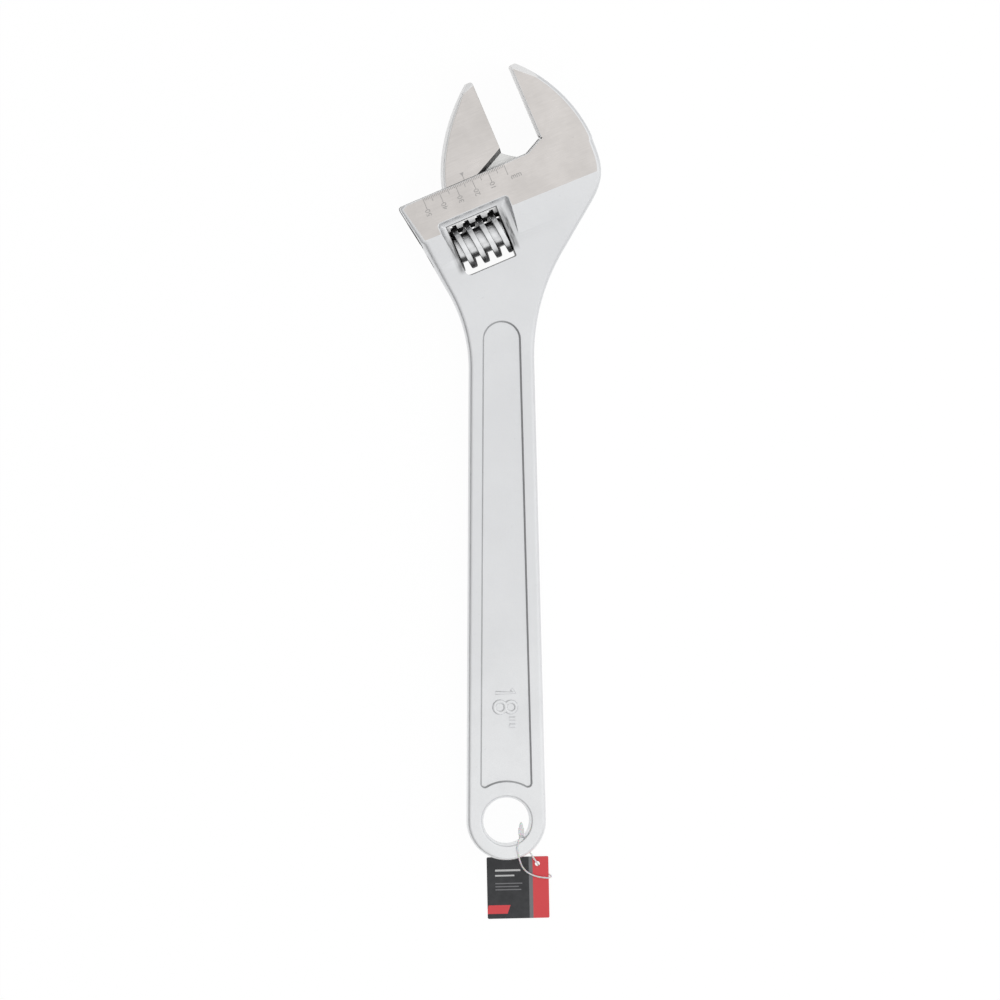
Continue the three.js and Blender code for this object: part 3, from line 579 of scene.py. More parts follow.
def drawn(name: str, line: Iterable[Sequence[float]], radius: float, detail: int,
          closed: bool = False) -> bpy.types.Curve:
    """A line with a round section.

    Args:
        name: the curve's name.
        line: x, y and z of each point.
        radius: the section's radius.
        detail: how finely the section is rounded.
        closed: whether the line runs back to its start.

    Returns:
        The curve.
    """
    curve = bpy.data.curves.new(name, "CURVE")
    curve.dimensions = "3D"
    curve.bevel_depth = radius
    curve.bevel_resolution = detail
    curve.use_fill_caps = True
    spline = curve.splines.new("POLY")
    spline.points.add(len(line) - 1)
    spline.use_cyclic_u = closed
    for point, row in zip(spline.points, line):
        point.co = (*row, 1)
    return curve


# ---- Lines and closed forms, in millimetres ------------------------------------------------------


def arc(x: float, y: float, radius: float, start: float, end: float, steps: int) -> np.ndarray:
    """Points of a circular arc, both ends among them.

    Args:
        x: centre, along the first axis.
        y: centre, along the second axis.
        radius: its radius.
        start: where it starts, in radians.
        end: where it ends, in radians.
        steps: number of steps.

    Returns:
        One row for each point.
    """
    angles = np.linspace(start, end, steps + 1)
    return np.column_stack((x + radius * np.cos(angles), y + radius * np.sin(angles)))


def bezier(a: Sequence, b: Sequence, c: Sequence, d: Sequence, steps: int) -> np.ndarray:
    """Points of a cubic curve from a to d, both among them.

    Args:
        a: first point.
        b: first control point.
        c: second control point.
        d: last point.
        steps: number of steps.

    Returns:
        One row for each point.
    """
    t = np.linspace(0, 1, steps + 1)[:, None]
    a, b, c, d = (np.asarray(point, float) for point in (a, b, c, d))
    return (1 - t) ** 3 * a + 3 * (1 - t) ** 2 * t * b + 3 * (1 - t) * t**2 * c + t**3 * d


def bulge(start: Sequence, end: Sequence, first: Sequence, second: Sequence, steps: int) -> np.ndarray:
    """A cubic curve whose control points are shares of the way along both axes.

    Args:
        start: first point.
        end: last point.
        first: shares of the first control point.
        second: shares of the second control point.
        steps: number of steps.

    Returns:
        One row for each point.
    """
    start, end = np.asarray(start, float), np.asarray(end, float)
    reach = end - start
    return bezier(start, start + reach * first, start + reach * second, end, steps)


def along(path: np.ndarray, shares: np.ndarray) -> np.ndarray:
    """Points at shares of a line's length.

    Args:
        path: the line's points.
        shares: shares from 0 to 1.

    Returns:
        One row for each share.
    """
    run = np.concatenate(([0], np.cumsum(np.linalg.norm(np.diff(path, axis=0), axis=1))))
    return np.column_stack([np.interp(shares * run[-1], run, axis) for axis in path.T])


def rounded(corners: Sequence[tuple], steps: int = 8) -> np.ndarray:
    """A polygon whose corners are rounded.

    Args:
        corners: x, y and radius of each corner, anticlockwise.
        steps: steps of each rounding.

    Returns:
        One row for each point.
    """
    points = []
    for i, (x, y, radius) in enumerate(corners):
        corner = Vector((x, y))
        if radius == 0:
            points.append((x, y))
            continue
        back = (Vector(corners[i - 1][:2]) - corner).normalized()
        ahead = (Vector(corners[(i + 1) % len(corners)][:2]) - corner).normalized()
        reach = radius / math.tan(back.angle(ahead) / 2)
        curve = bezier(corner + back * reach, corner + back * reach * 0.45, corner + ahead * reach * 0.45,
                       corner + ahead * reach, steps)
        points.extend(map(tuple, curve))
    return np.array(points)


def turned_left(rows: np.ndarray) -> np.ndarray:
    """Each row turned a quarter anticlockwise."""
    return np.column_stack((-rows[:, 1], rows[:, 0]))


NEARLY_STRAIGHT = math.sin(math.radians(20))


def shifted(outline: np.ndarray, before: np.ndarray, after: np.ndarray) -> np.ndarray:
    """An outline whose edges each move inwards by their own distance.

    Args:
        outline: its corners, anticlockwise.
        before: how far the edge that reaches each corner moves.
        after: how far the edge that leaves each corner moves.

    Returns:
        The moved corners.
    """
    reach = outline - np.roll(outline, 1, axis=0)
    leave = np.roll(outline, -1, axis=0) - outline
    first = turned_left(reach / np.linalg.norm(reach, axis=1)[:, None])
    second = turned_left(leave / np.linalg.norm(leave, axis=1)[:, None])
    cross = first[:, 0] * second[:, 1] - first[:, 1] * second[:, 0]
    straight = np.abs(cross) < NEARLY_STRAIGHT
    safe = np.where(straight, 1, cross)[:, None]
    sharp = np.column_stack((before * second[:, 1] - after * first[:, 1],
                             after * first[:, 0] - before * second[:, 0])) / safe
    mean = first + second
    mean /= np.linalg.norm(mean, axis=1)[:, None]
    soft = mean * ((before + after) / 2 / (mean * first).sum(axis=1))[:, None]
    return outline + np.where(straight[:, None], soft, sharp)


@dataclass(frozen=True)
class HeadAxes:
    """The head's own axes: u along the slide, v along the jaws, w up from the plate's middle."""

    angle: float = math.radians(22.5)
    middle: float = 14.0

    def matrix(self, u: float = 0.0, v: float = 0.0) -> Matrix:
        """The place of a form that is made round the point u, v of the head."""
        turn = Matrix.Translation((0, 0, self.middle)) @ Matrix.Rotation(self.angle, 4, "Z")
        return turn @ Matrix.Translation((u, v, 0))

    def point(self, u: float, v: float) -> tuple[float, float]:
        """A point of the head in the handle's axes."""
        return (u * math.cos(self.angle) - v * math.sin(self.angle),
                u * math.sin(self.angle) + v * math.cos(self.angle))

    def heights(self, path: np.ndarray) -> np.ndarray:
        """How high along v each point of a line in the handle's axes lies."""
        return path[:, 1] * math.cos(self.angle) - path[:, 0] * math.sin(self.angle)


AXES = HeadAxes()
IN_PLATE = Matrix.Translation((0, 0, AXES.middle))
TO_HEAD = AXES.matrix().inverted()
SAME = 0.02  # heights that differ by less are the same
LEVEL = 0.999  # a flat face's normal is nearer than this to the height axis
STEEP = 0.9  # a wall's normal is farther than this from it
HOLE_TO_BAND = 362.9  # from the hang hole's centre up to the origin, which the head's axes share
FAR = 120.0  # beyond every side of the head


class Join(Enum):
    """How one form acts on another."""

    CUT = "DIFFERENCE"
    ADD = "UNION"
    KEEP = "INTERSECT"


class Form:
    """A closed mesh in millimetres that is cut and joined until it is a finished piece."""

    def __init__(self, mesh: Mesh, finish: Material, place: Optional[Matrix] = None) -> None:
        """Takes over a mesh.

        Args:
            mesh: a closed mesh with its faces outwards.
            finish: the finish of all its faces.
            place: where it goes.
        """
        if place is not None:
            mesh.transform(place)
        mesh.materials.clear()
        mesh.materials.append(finish)
        mesh.polygons.foreach_set("material_index", [0] * len(mesh.polygons))
        self.object = placed("form", mesh)

    @classmethod
    def rings(cls, rings: Sequence[np.ndarray], finish: Material, place: Optional[Matrix] = None,
              caps: Optional[Sequence[Sequence[int]]] = None) -> "Form":
        """Makes a form from closed rings with the same number of points, listed from the bottom up.

        Args:
            rings: one array of x, y, z rows for each ring.
            finish: its finish.
            place: where it goes.
            caps: the faces that close the last ring, or None for one face.

        Returns:
            The form.
        """
        count = len(rings[0])
        numbers = np.arange(count)
        faces = []
        for low in range(0, (len(rings) - 1) * count, count):
            after = low + np.roll(numbers, -1)
            faces.extend(np.column_stack((low + numbers, after, after + count, low + numbers + count)))
        caps = caps or [numbers]
        top = (len(rings) - 1) * count
        faces += [[top + i for i in cap] for cap in caps] + [list(reversed(cap)) for cap in caps]
        mesh = bpy.data.meshes.new("form")
        mesh.from_pydata(np.vstack(rings).tolist(), [], [tuple(face) for face in faces])
        return cls(mesh, finish, place)

    @classmethod
    def layered(cls, outline: np.ndarray, layers: Sequence[tuple], finish: Material,
                place: Optional[Matrix] = None) -> "Form":
        """A prism whose walls may lean or curve.

        Args:
            outline: its corners, anticlockwise.
            layers: how far the outline moves inwards, and the height, from the bottom up.
            finish: its finish.
            place: where it goes.

        Returns:
            The form.
        """
        count = len(outline)
        rings = [np.column_stack((shifted(outline, np.full(count, inset), np.full(count, inset)),
                                  np.full(count, z))) for inset, z in layers]
        return cls.rings(rings, finish, place)

    @classmethod
    def plate(cls, outline: np.ndarray, halves: np.ndarray, edges: Sequence["Edge"],
              finish: Material, place: Matrix, caps: Optional[Sequence[Sequence[int]]] = None) -> "Form":
        """A forged or ground plate, alike on both faces.

        Args:
            outline: its corners, anticlockwise.
            halves: half its thickness at each corner.
            edges: the kind of the edge that leaves each corner.
            finish: its finish.
            place: where it goes.
            caps: the faces of its top, or None for one face.

        Returns:
            The form.
        """
        leave = np.array([(edge.round, edge.lean) for edge in edges])
        reach = np.roll(leave, 1, axis=0)
        least = np.minimum(leave[:, 0], reach[:, 0])

        def inset(kind: np.ndarray, angle: float) -> np.ndarray:
            """How far an edge of that kind lies inside the outline at an angle of its rounding."""
            return (halves - kind[:, 0]) * kind[:, 1] + kind[:, 0] * (1 - math.cos(angle))

        def ring(angle: float, side: int) -> np.ndarray:
            """The ring at an angle of the rounding, on one side."""
            flat = shifted(outline, inset(reach, angle), inset(leave, angle))
            return np.column_stack((flat, side * (halves - least * (1 - math.sin(angle)))))

        angles = np.linspace(0, math.pi / 2, 7)
        middle = np.column_stack((outline, np.zeros(len(outline))))
        rings = [ring(angle, -1) for angle in angles[::-1]] + [middle] + [ring(angle, 1) for angle in angles]
        return cls.rings(rings, finish, place, caps)

    @classmethod
    def turned(cls, profile: Sequence[tuple], finish: Material, place: Matrix, segments: int = 96) -> "Form":
        """A form turned about the X axis.

        Args:
            profile: distance along the axis and radius, from one end on the axis to the other.
            finish: its finish.
            place: where it goes.
            segments: steps of the turn.

        Returns:
            The form.
        """
        angles = np.linspace(0, 2 * math.pi, segments, endpoint=False)
        rings = [np.column_stack((np.full(segments, x), radius * np.cos(angles), radius * np.sin(angles)))
                 for x, radius in profile[1:-1]]
        return cls.rings(rings, finish, place)

    @classmethod
    def rod(cls, start: float, end: float, radius: float, finish: Material, place: Matrix,
            soft: Sequence[tuple] = ((0, 0),), segments: int = 96) -> "Form":
        """A rod along the X axis.

        Args:
            start: where it starts.
            end: where it ends.
            radius: its radius.
            finish: its finish.
            place: where it goes.
            soft: how far from an end, and inside the radius, each point of the end's softening lies.
            segments: steps of the turn.

        Returns:
            The form.
        """
        low = [(start + off, radius - inside) for off, inside in soft]
        high = [(end - off, radius - inside) for off, inside in reversed(soft)]
        return cls.turned([(start, 0), *low, *high, (end, 0)], finish, place, segments)

    def act(self, join: Join, tools: Sequence["Form"]) -> None:
        """Cuts, adds or keeps with other forms, which are used up; the faces they leave keep their finish.

        Args:
            join: what they do.
            tools: the other forms.
        """
        for tool in tools:
            modifier = self.object.modifiers.new("join", "BOOLEAN")
            modifier.operation = join.value
            modifier.solver = "MANIFOLD"
            modifier.object = tool.object
            modifier.material_mode = "TRANSFER"
        self.object.data = evaluated(self.object)
        self.object.modifiers.clear()
        for tool in tools:
            bpy.data.objects.remove(tool.object)

    def dress(self, finish: Material, test: Callable[[Vector, Vector], bool],
              axes: Matrix = Matrix.Identity(4)) -> None:
        """Gives some faces another finish.

        Args:
            finish: the finish.
            test: says from a face's middle and its normal whether it is one of them.
            axes: turns both into the axes that the test reads.
        """
        mesh = self.object.data
        mesh.materials.append(finish)
        number = len(mesh.materials) - 1
        turn = axes.to_3x3()
        for face in mesh.polygons:
            if test(axes @ face.center, turn @ face.normal):
                face.material_index = number

    def piece(self, name: str, slot: str, body: str, *nodes: str, sharp: float = 34.0) -> Object:
        """Finishes the form: metres, smooth shading up to an angle, and its place in the frame.

        Args:
            name: the piece's name.
            slot: the record's material slot.
            body: the body it rides on.
            *nodes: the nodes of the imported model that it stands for.
            sharp: the angle in degrees above which an edge stays sharp.

        Returns:
            The piece.
        """
        piece = self.object
        tidy(piece.data, 2e-4)
        piece.data.transform(Matrix.Scale(MM, 4))
        shade(piece, sharp)
        return settle(piece, name, slot, body, *nodes)


def tidy(mesh: Mesh, distance: float) -> None:
    """Merges points that lie together and drops what has no area.

    Args:
        mesh: the mesh.
        distance: how near together the points lie.
    """
    form = bmesh.new()
    form.from_mesh(mesh)
    bmesh.ops.remove_doubles(form, verts=form.verts, dist=distance)
    bmesh.ops.dissolve_degenerate(form, edges=form.edges, dist=distance / 10)
    form.to_mesh(mesh)
    form.free()


def shade(piece: Object, sharp: float) -> None:
    """Smooth shading whose wide faces stay flat.

    Args:
        piece: the piece.
        sharp: the angle in degrees above which an edge stays sharp.
    """
    piece.data.polygons.foreach_set("use_smooth", [True] * len(piece.data.polygons))
    piece.data.set_sharp_from_angle(angle=math.radians(sharp))
    modifier = piece.modifiers.new("wide_faces", "WEIGHTED_NORMAL")
    modifier.keep_sharp = True
    modifier.mode = "FACE_AREA"
    piece.data = evaluated(piece)
    piece.modifiers.clear()


def settle(piece: Object, name: str, slot: str, body: str, *nodes: str) -> Object:
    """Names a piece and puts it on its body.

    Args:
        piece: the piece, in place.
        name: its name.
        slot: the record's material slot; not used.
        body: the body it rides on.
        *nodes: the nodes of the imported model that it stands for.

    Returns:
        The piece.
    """
    piece.name = name
    piece.data.name = name
    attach(piece, body)
    if nodes:
        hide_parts(*nodes)
    LOG.info("%s: %d faces", name, len(getattr(piece.data, "polygons", [])))
    return piece


@dataclass(frozen=True)
class Edge:
    """How an edge of a plate is finished."""

    round: float
    draft: float = 0.0

    @property
    def lean(self) -> float:
        """How far the side leans inwards for each millimetre of height."""
        return math.tan(math.radians(self.draft))


FORGED = Edge(2.4, 3)
BACK = Edge(1.9, 1)
TIP = Edge(0.8, 1)
GROUND = Edge(0.5)
FOOT = Edge(0.15)
REAR = Edge(1.6)

# painted shade in the thumb dish, streaked, at both sides of the window: left, right, low, high, strength
PAINTED_DISH_SHADE = ((-42.2, -37.2, -39.0, -11.0, 0.8), (-8.6, -4.2, -38.0, -6.0, 0.85))


def back_edge(number: int) -> Edge:
    """One of the edges of a jaw's back, counted from its tip, where they are finer."""
    return Edge(min(BACK.round, TIP.round * (1 + number / 8)), BACK.draft)


# ---- What repeats --------------------------------------------------------------------------------


def grown(name: str, group: NodeTree, inputs: dict) -> Mesh:
    """Runs a geometry node tree once and returns its plain mesh.

    Args:
        name: name of the mesh.
        group: the tree.
        inputs: its values, by name.

    Returns:
        The mesh.
    """
    holder = placed(name, bpy.data.meshes.new(name))
    modifier = holder.modifiers.new(name, "NODES")
    modifier.node_group = group
    for item in group.interface.items_tree:
        if item.in_out == "INPUT" and item.name in inputs:
            modifier[item.identifier] = inputs[item.name]
    return plain(holder)


class Growths:
    """The geometry node trees of this tool: tick marks, rack gaps, and coiled bars."""

    def __init__(self) -> None:
        """Builds the trees."""
        self.ticks = self._ticks()
        self.gaps = self._gaps()
        self.coil = self._coil()

    @staticmethod
    def _finish(tree: Tree, shape: Socket, finish: Socket) -> NodeTree:
        """Realizes what a tree has made, gives it its material, puts it out and returns the tree."""
        real = tree.out("GeometryNodeRealizeInstances", {0: shape})
        dressed = tree.out("GeometryNodeSetMaterial", {"Geometry": real, "Material": finish})
        return tree.put(Geometry=dressed)

    @staticmethod
    def _row(tree: Tree, given: Sockets) -> Socket:
        """A row of points along X, by the tree's Count and Pitch."""
        step = tree.vector(given["Pitch"])
        return tree.out("GeometryNodeMeshLine", {"Count": given["Count"], "Offset": step})

    @classmethod
    def _ticks(cls) -> NodeTree:
        """Tick marks in a row, longer at every fifth and every tenth.

        Returns:
            The tree.
        """
        ins = {"Count": 51, "Pitch": 1.0, "Width": 0.25, "Depth": 0.4, "Short": 2.0, "Middle": 4.0,
               "Long": 7.0, "Seed": 1, "Spread": 0.1, "Finish": "Material"}
        tree, given = node_group("tick_marks", "GeometryNodeTree", ins, "Geometry")
        index = tree.out("GeometryNodeInputIndex")
        fifth = tree.math("COMPARE", tree.math("MODULO", index, 5.0), 0.0, 0.01)
        tenth = tree.math("COMPARE", tree.math("MODULO", index, 10.0), 0.0, 0.01)
        middle = tree.times(fifth, tree.minus(given["Middle"], given["Short"]))
        long = tree.times(tenth, tree.minus(given["Long"], given["Middle"]))
        length = tree.plus(given["Short"], tree.plus(middle, long))
        chance = tree.add("FunctionNodeRandomValue", {"Seed": given["Seed"], 2: 0.0}, data_type="FLOAT")
        uneven = tree.times(chance.outputs[1], given["Spread"])
        size = tree.vector(given["Width"], tree.plus(length, uneven), given["Depth"])
        block = tree.out("GeometryNodeMeshCube", {"Size": (1, 1, 1)})
        hung = tree.out("GeometryNodeTransform", {"Geometry": block, "Translation": (0, -0.5, 0)})
        marks = tree.out("GeometryNodeInstanceOnPoints", {
            "Points": cls._row(tree, given), "Instance": hung, "Scale": size})
        return cls._finish(tree, marks, given["Finish"])

    @classmethod
    def _gaps(cls) -> NodeTree:
        """The gaps of a rack in a row: each narrows upwards and leans with the worm's thread.

        Returns:
            The tree.
        """
        ins = {"Count": 9, "Pitch": 7.6, "Mouth": 6.0, "Bottom": 3.0, "Depth": 6.0, "Length": 20.0,
               "Lean": 0.1, "Finish": "Material"}
        tree, given = node_group("rack_gaps", "GeometryNodeTree", ins, "Geometry")
        size = tree.vector(1.0, given["Depth"], given["Length"])
        block = tree.out("GeometryNodeMeshCube", {"Size": size})
        x, y, z = tree.parts(tree.out("GeometryNodeInputPosition"))
        share = tree.plus(tree.math("DIVIDE", y, given["Depth"]), 0.5)
        taper = tree.minus(given["Bottom"], given["Mouth"])
        width = tree.scaled(share, taper, given["Mouth"])
        leaning = tree.scaled(z, given["Lean"], tree.times(x, width))
        low = tree.minus(y, tree.times(given["Depth"], 0.5))
        moved = tree.vector(leaning, low, z)
        gap = tree.out("GeometryNodeSetPosition", {"Geometry": block, "Position": moved})
        gaps = tree.out("GeometryNodeInstanceOnPoints", {"Points": cls._row(tree, given), "Instance": gap})
        return cls._finish(tree, gaps, given["Finish"])

    @classmethod
    def _coil(cls) -> NodeTree:
        """A bar with a tapered section, or a round one, wound round the Z axis.

        Returns:
            The tree.
        """
        ins = {"Radius": 10.0, "Lead": 7.6, "Turns": 5.0, "Steps": 60, "Foot": 3.5, "Crest": 1.9,
               "Height": 5.0, "Round": 0.4, "Wire": False, "Finish": "Material"}
        tree, given = node_group("coiled_bar", "GeometryNodeTree", ins, "Geometry")
        height = tree.times(given["Lead"], given["Turns"])
        spiral = tree.add("GeometryNodeCurveSpiral", {
            "Resolution": given["Steps"], "Rotations": given["Turns"], "Start Radius": given["Radius"],
            "End Radius": given["Radius"], "Height": height, "Reverse": True})
        upright = tree.out("GeometryNodeSetCurveNormal", {"Curve": spiral.outputs[0]}, mode="Z_UP")
        taper = tree.out("GeometryNodeCurvePrimitiveQuadrilateral", {
            "Bottom Width": given["Foot"], "Top Width": given["Crest"], "Offset": 0.0,
            "Height": given["Height"]}, mode="TRAPEZOID")
        soft = tree.out("GeometryNodeFilletCurve", {"Curve": taper, "Radius": given["Round"],
                                                    "Count": 4, "Limit Radius": True}, mode="POLY")
        lying = tree.out("GeometryNodeTransform", {"Geometry": soft, "Rotation": (0, 0, math.pi / 2)})
        ring = tree.out("GeometryNodeCurvePrimitiveCircle", {"Resolution": 16, "Radius": given["Round"]},
                        mode="RADIUS")
        section = tree.out("GeometryNodeSwitch", {"Switch": given["Wire"], "False": lying, "True": ring},
                           input_type="GEOMETRY")
        bar = tree.out("GeometryNodeCurveToMesh", {"Curve": upright, "Profile Curve": section,
                                                   "Fill Caps": True})
        return cls._finish(tree, bar, given["Finish"])


GROWTHS = Growths()


# ---- The wrench ----------------------------------------------------------------------------------


@dataclass(frozen=True)
class SlideSizes:
    """Sizes that the body, the jaw and the worm share, along the head's axes."""

    face: float = 31.8
    opening: float = 23.85
    tip: float = 60.8
    tip_width: float = 3.4
    fixed_tip_width: float = 3.2
    tip_round: float = 0.9
    band: float = 11.0
    chin: float = 20.0
    heel_slope: float = 26.5
    heel_draft: float = 16.0
    jaw_thickness: float = 27.0
    fixed_tip_round: float = 1.7
    nose: float = 8.0
    neck: float = 9.0
    slide_v: float = -6.5
    slide_radius: float = 9.2
    behind: float = 61.7
    ahead: float = 7.4
    lead: float = 7.6
    worm_u: float = -22.3
    worm_v: float = -24.4
    worm_radius: float = 13.0
    worm_root: float = 8.0
    worm_length: float = 30.0
    rack_v: float = -10.5
    window_v: float = -9.7
    gap: float = 0.3
    pin_radius: float = 3.0
    pin_head: float = 4.0
    pin_head_length: float = 9.0
    pin_sunk: float = 1.2
    pin_seat: float = 9.0
    throat_slope: float = 26.5
    thickness: float = 28.0

    @property
    def half(self) -> float:
        """Half the head's thickness."""
        return self.thickness / 2

    @property
    def jaw_u(self) -> float:
        """Where the movable gripping face lies."""
        return self.face - self.opening

    @property
    def window_half(self) -> float:
        """Half the window's length."""
        return self.worm_length / 2 + self.gap

    @property
    def pin_end(self) -> float:
        """Where the worm's pin ends, behind the window's front wall."""
        return self.worm_u + self.window_half + self.pin_seat

    @property
    def chin_drop(self) -> float:
        """How much lower the chin lies at the jaw's middle than at its faces."""
        reach = self.jaw_thickness / 2 * math.tan(math.radians(self.heel_draft))
        return reach / math.cos(math.radians(self.heel_slope))

    def nose_line(self) -> np.ndarray:
        """The front of the neck from the slide up to the gripping face, which lies at u = 0."""
        rise = self.chin - self.band
        foot = (self.nose + 1, self.slide_v + self.slide_radius)
        top = (-GROUND.round, self.chin - self.chin_drop * (1 - self.neck / self.jaw_thickness))
        curve = bezier((self.nose, self.band), (self.nose * 0.72, self.band + 0.12 * rise),
                       (self.nose * 0.3, self.band + 0.4 * rise), top, 10)
        return np.vstack(([foot], curve))


@dataclass
class ForgedBody:
    """The forged body: eye, panelled handle, and the head with its band, fixed jaw, window and bores."""

    sizes: SlideSizes
    finishes: dict
    eye_radius: float = 22.8
    hole_radius: float = 13.2
    hole_flare: float = 1.5
    neck_half: float = 18.75
    neck_to_band: float = 98.3
    rear_neck_to_band: float = 103.5
    handle_half: float = 6.5
    rail: float = 7.7
    panel_depth: float = 1.5
    panel_to_band: float = 77.0
    panel_corner: float = 2.4
    panel_wall: float = 1.25
    head_rear: float = 58.3
    rear_lean: float = 8.4
    rear_radius: float = 86.5
    front_radius: float = 117.0
    front_flare: float = 30.8
    flare_length: float = 33.0
    head_front: float = 59.2
    widest_at: float = 5.0
    shoulder: float = 16.5
    border_drop: float = 4.0
    border_rear_drop: float = 1.2
    rear_corner: float = 2.0
    face_root: float = 16.1
    relief: float = 0.5
    window_corner: float = 3.2
    window_below: float = 2.9
    dish_depth: float = 3.1
    dish_slope: float = 60.0
    dish_above: float = 4.0
    dish_behind: float = 4.8
    dish_ahead: float = 8.8
    dish_below: float = 12.0
    dish_narrowing: float = 1.4
    dish_corner: float = 2.0
    dish_rim: float = 0.8
    rear_edge_round: float = 3.8
    seam_reach: float = 15.5
    seam_top: float = -70.0
    seam_height: float = 2.0
    facet: tuple = ((18.0, -18.5), (-0.2, -1.6), 22.0)  # its line's ends from the tip, its slope
    stations: int = 48
    fine: int = 2000

    def rear_side(self, v: float) -> float:
        """Where the head's rear side lies at a height v."""
        return -self.head_rear + (self.sizes.band - v) * math.tan(math.radians(self.rear_lean))

    def neck_arc(self, side: int, below: float, radius: float, angle: float) -> np.ndarray:
        """The hollow arc between the handle and the head.

        Args:
            side: 1 at the front, -1 at the rear.
            below: how far below the band it starts.
            radius: its radius.
            angle: how far it turns, in degrees.

        Returns:
            Its points.
        """
        start = math.pi if side > 0 else 0.0
        return arc(side * (self.neck_half + radius), -below, radius, start,
                   start - side * math.radians(angle), 40)

    def front_edge(self) -> np.ndarray:
        """The front edge from the neck round the shoulder to the head's widest point."""
        bend = self.neck_arc(1, self.neck_to_band, self.front_radius, self.front_flare)
        way = np.array([math.sin(math.radians(self.front_flare)), math.cos(math.radians(self.front_flare))])
        end = bend[-1] + way * self.flare_length
        low = AXES.point(self.head_front, self.widest_at - self.shoulder)
        widest = AXES.point(self.head_front, self.widest_at)
        soft = bezier(end, end + way * self.shoulder, low, widest, 40)
        return np.vstack((bend, soft))

    def rear_edge(self) -> np.ndarray:
        """The rear edge from the neck to the lower border of the band."""
        turn = math.degrees(AXES.angle) + self.rear_lean
        bend = self.neck_arc(-1, self.rear_neck_to_band, self.rear_radius, turn)
        low = -self.sizes.band - self.border_rear_drop
        border = AXES.point(self.rear_side(low), low)
        return np.vstack((bend, [border]))

    def thickness_at(self, share: float) -> float:
        """Half the thickness on the way from the neck, share 0, to the band, share 1."""
        hollow = 0.6
        rise = share**2 / (hollow * (2 - hollow)) if share < hollow else (2 * share - hollow) / (2 - hollow)
        return self.handle_half + (self.sizes.half - self.handle_half) * rise

    def blank(self) -> Form:
        """The plate of the whole body before anything is cut."""
        s = self.sizes
        points, halves, edges = [], [], []

        def add(rows: np.ndarray, half: Union[float, Sequence[float]], edge: Union[Edge, list]) -> list[int]:
            """Adds corners and returns their numbers."""
            first = len(points)
            points.extend(map(tuple, rows))
            halves.extend([half] * len(rows) if isinstance(half, float) else half)
            edges.extend(edge if isinstance(edge, list) else [edge] * len(rows))
            return list(range(first, len(points)))

        reach = HOLE_TO_BAND - self.neck_to_band
        lean = math.asin(self.eye_radius / math.hypot(self.neck_half, reach))
        lean -= math.atan2(self.neck_half, reach)
        eye = add(arc(0, -HOLE_TO_BAND, self.eye_radius, math.pi - lean, 2 * math.pi + lean, 96),
                  self.handle_half, FORGED)
        shares = np.linspace(0, 1, self.stations + 1)
        rises = [self.thickness_at(share) for share in shares]
        fine = along(self.front_edge(), np.linspace(0, 1, self.fine + 1))
        border = float(np.argmax(AXES.heights(fine) > -s.band - self.border_drop)) / self.fine
        front = add(along(fine, shares * border), rises, FORGED)
        soft = add(along(fine, np.linspace(border, 1, 16))[1:-1], s.half, FORGED)
        tip = (s.face + s.fixed_tip_width, s.tip)
        back = bulge((self.head_front, self.widest_at), tip, (0, 0.34), (0.38, 0.75), 56)
        throat = s.face - (self.face_root - s.band) / math.tan(math.radians(s.throat_slope))
        back_edges = [back_edge(number) for number in reversed(range(len(back) - 1))]
        jaw = add([AXES.point(*row) for row in back[:-1]], s.half, back_edges)
        corner = s.fixed_tip_round
        flat = [tip, *arc(s.face + corner, s.tip - corner, corner, math.pi / 2, math.pi, 6),
                (s.face, self.face_root), (throat, s.band)]
        jaw += add([AXES.point(*row) for row in flat], s.half, GROUND)
        rear_top = [(-self.head_rear + self.rear_corner, s.band),
                    (-self.head_rear + 0.3 * self.rear_corner, s.band - 0.3 * self.rear_corner),
                    (self.rear_side(s.band - self.rear_corner), s.band - self.rear_corner)]
        jaw += add([AXES.point(*row) for row in rear_top], s.half, REAR)
        grown_edges = [Edge(FORGED.round + (self.rear_edge_round - FORGED.round) * share**2, FORGED.draft)
                       for share in shares[::-1]]
        rear = add(along(self.rear_edge(), shares[::-1]), rises[::-1], grown_edges)[::-1]
        caps = [eye, [eye[0], eye[-1], front[0], rear[0]]]
        caps += [[rear[k], front[k], front[k + 1], rear[k + 1]] for k in range(self.stations)]
        caps.append([front[-1], *soft, *jaw, rear[-1]])
        return Form.plate(np.array(points), np.array(halves), edges, self.finishes["blasted"], IN_PLATE, caps)

    def hole_cut(self) -> Form:
        """The hang hole with its flared and rounded rims."""
        rim, half = self.hole_radius + self.hole_flare, self.handle_half
        far = half + 8
        side = [(2.5, self.hole_radius), (half - 0.9, rim - 0.55), (half - 0.45, rim - 0.25),
                (half - 0.15, rim + 0.1), (half, rim + 0.6), (far, rim + 0.6)]
        profile = [(-x, r) for x, r in reversed(side)] + side
        place = IN_PLATE @ Matrix.Translation((0, -HOLE_TO_BAND, 0)) @ Matrix.Rotation(-math.pi / 2, 4, "Y")
        return Form.turned([(-far, 0), *profile, (far, 0)], self.finishes["blasted"], place, 128)

    def panel_outline(self) -> np.ndarray:
        """The panel: a round end under the head, straight sides and a hollow end round the eye."""
        slope = (self.eye_radius - self.neck_half) / (HOLE_TO_BAND - self.neck_to_band)

        def half(y: float) -> float:
            """Half the panel's width at a height y."""
            return self.neck_half - self.rail + (-self.neck_to_band - y) * slope

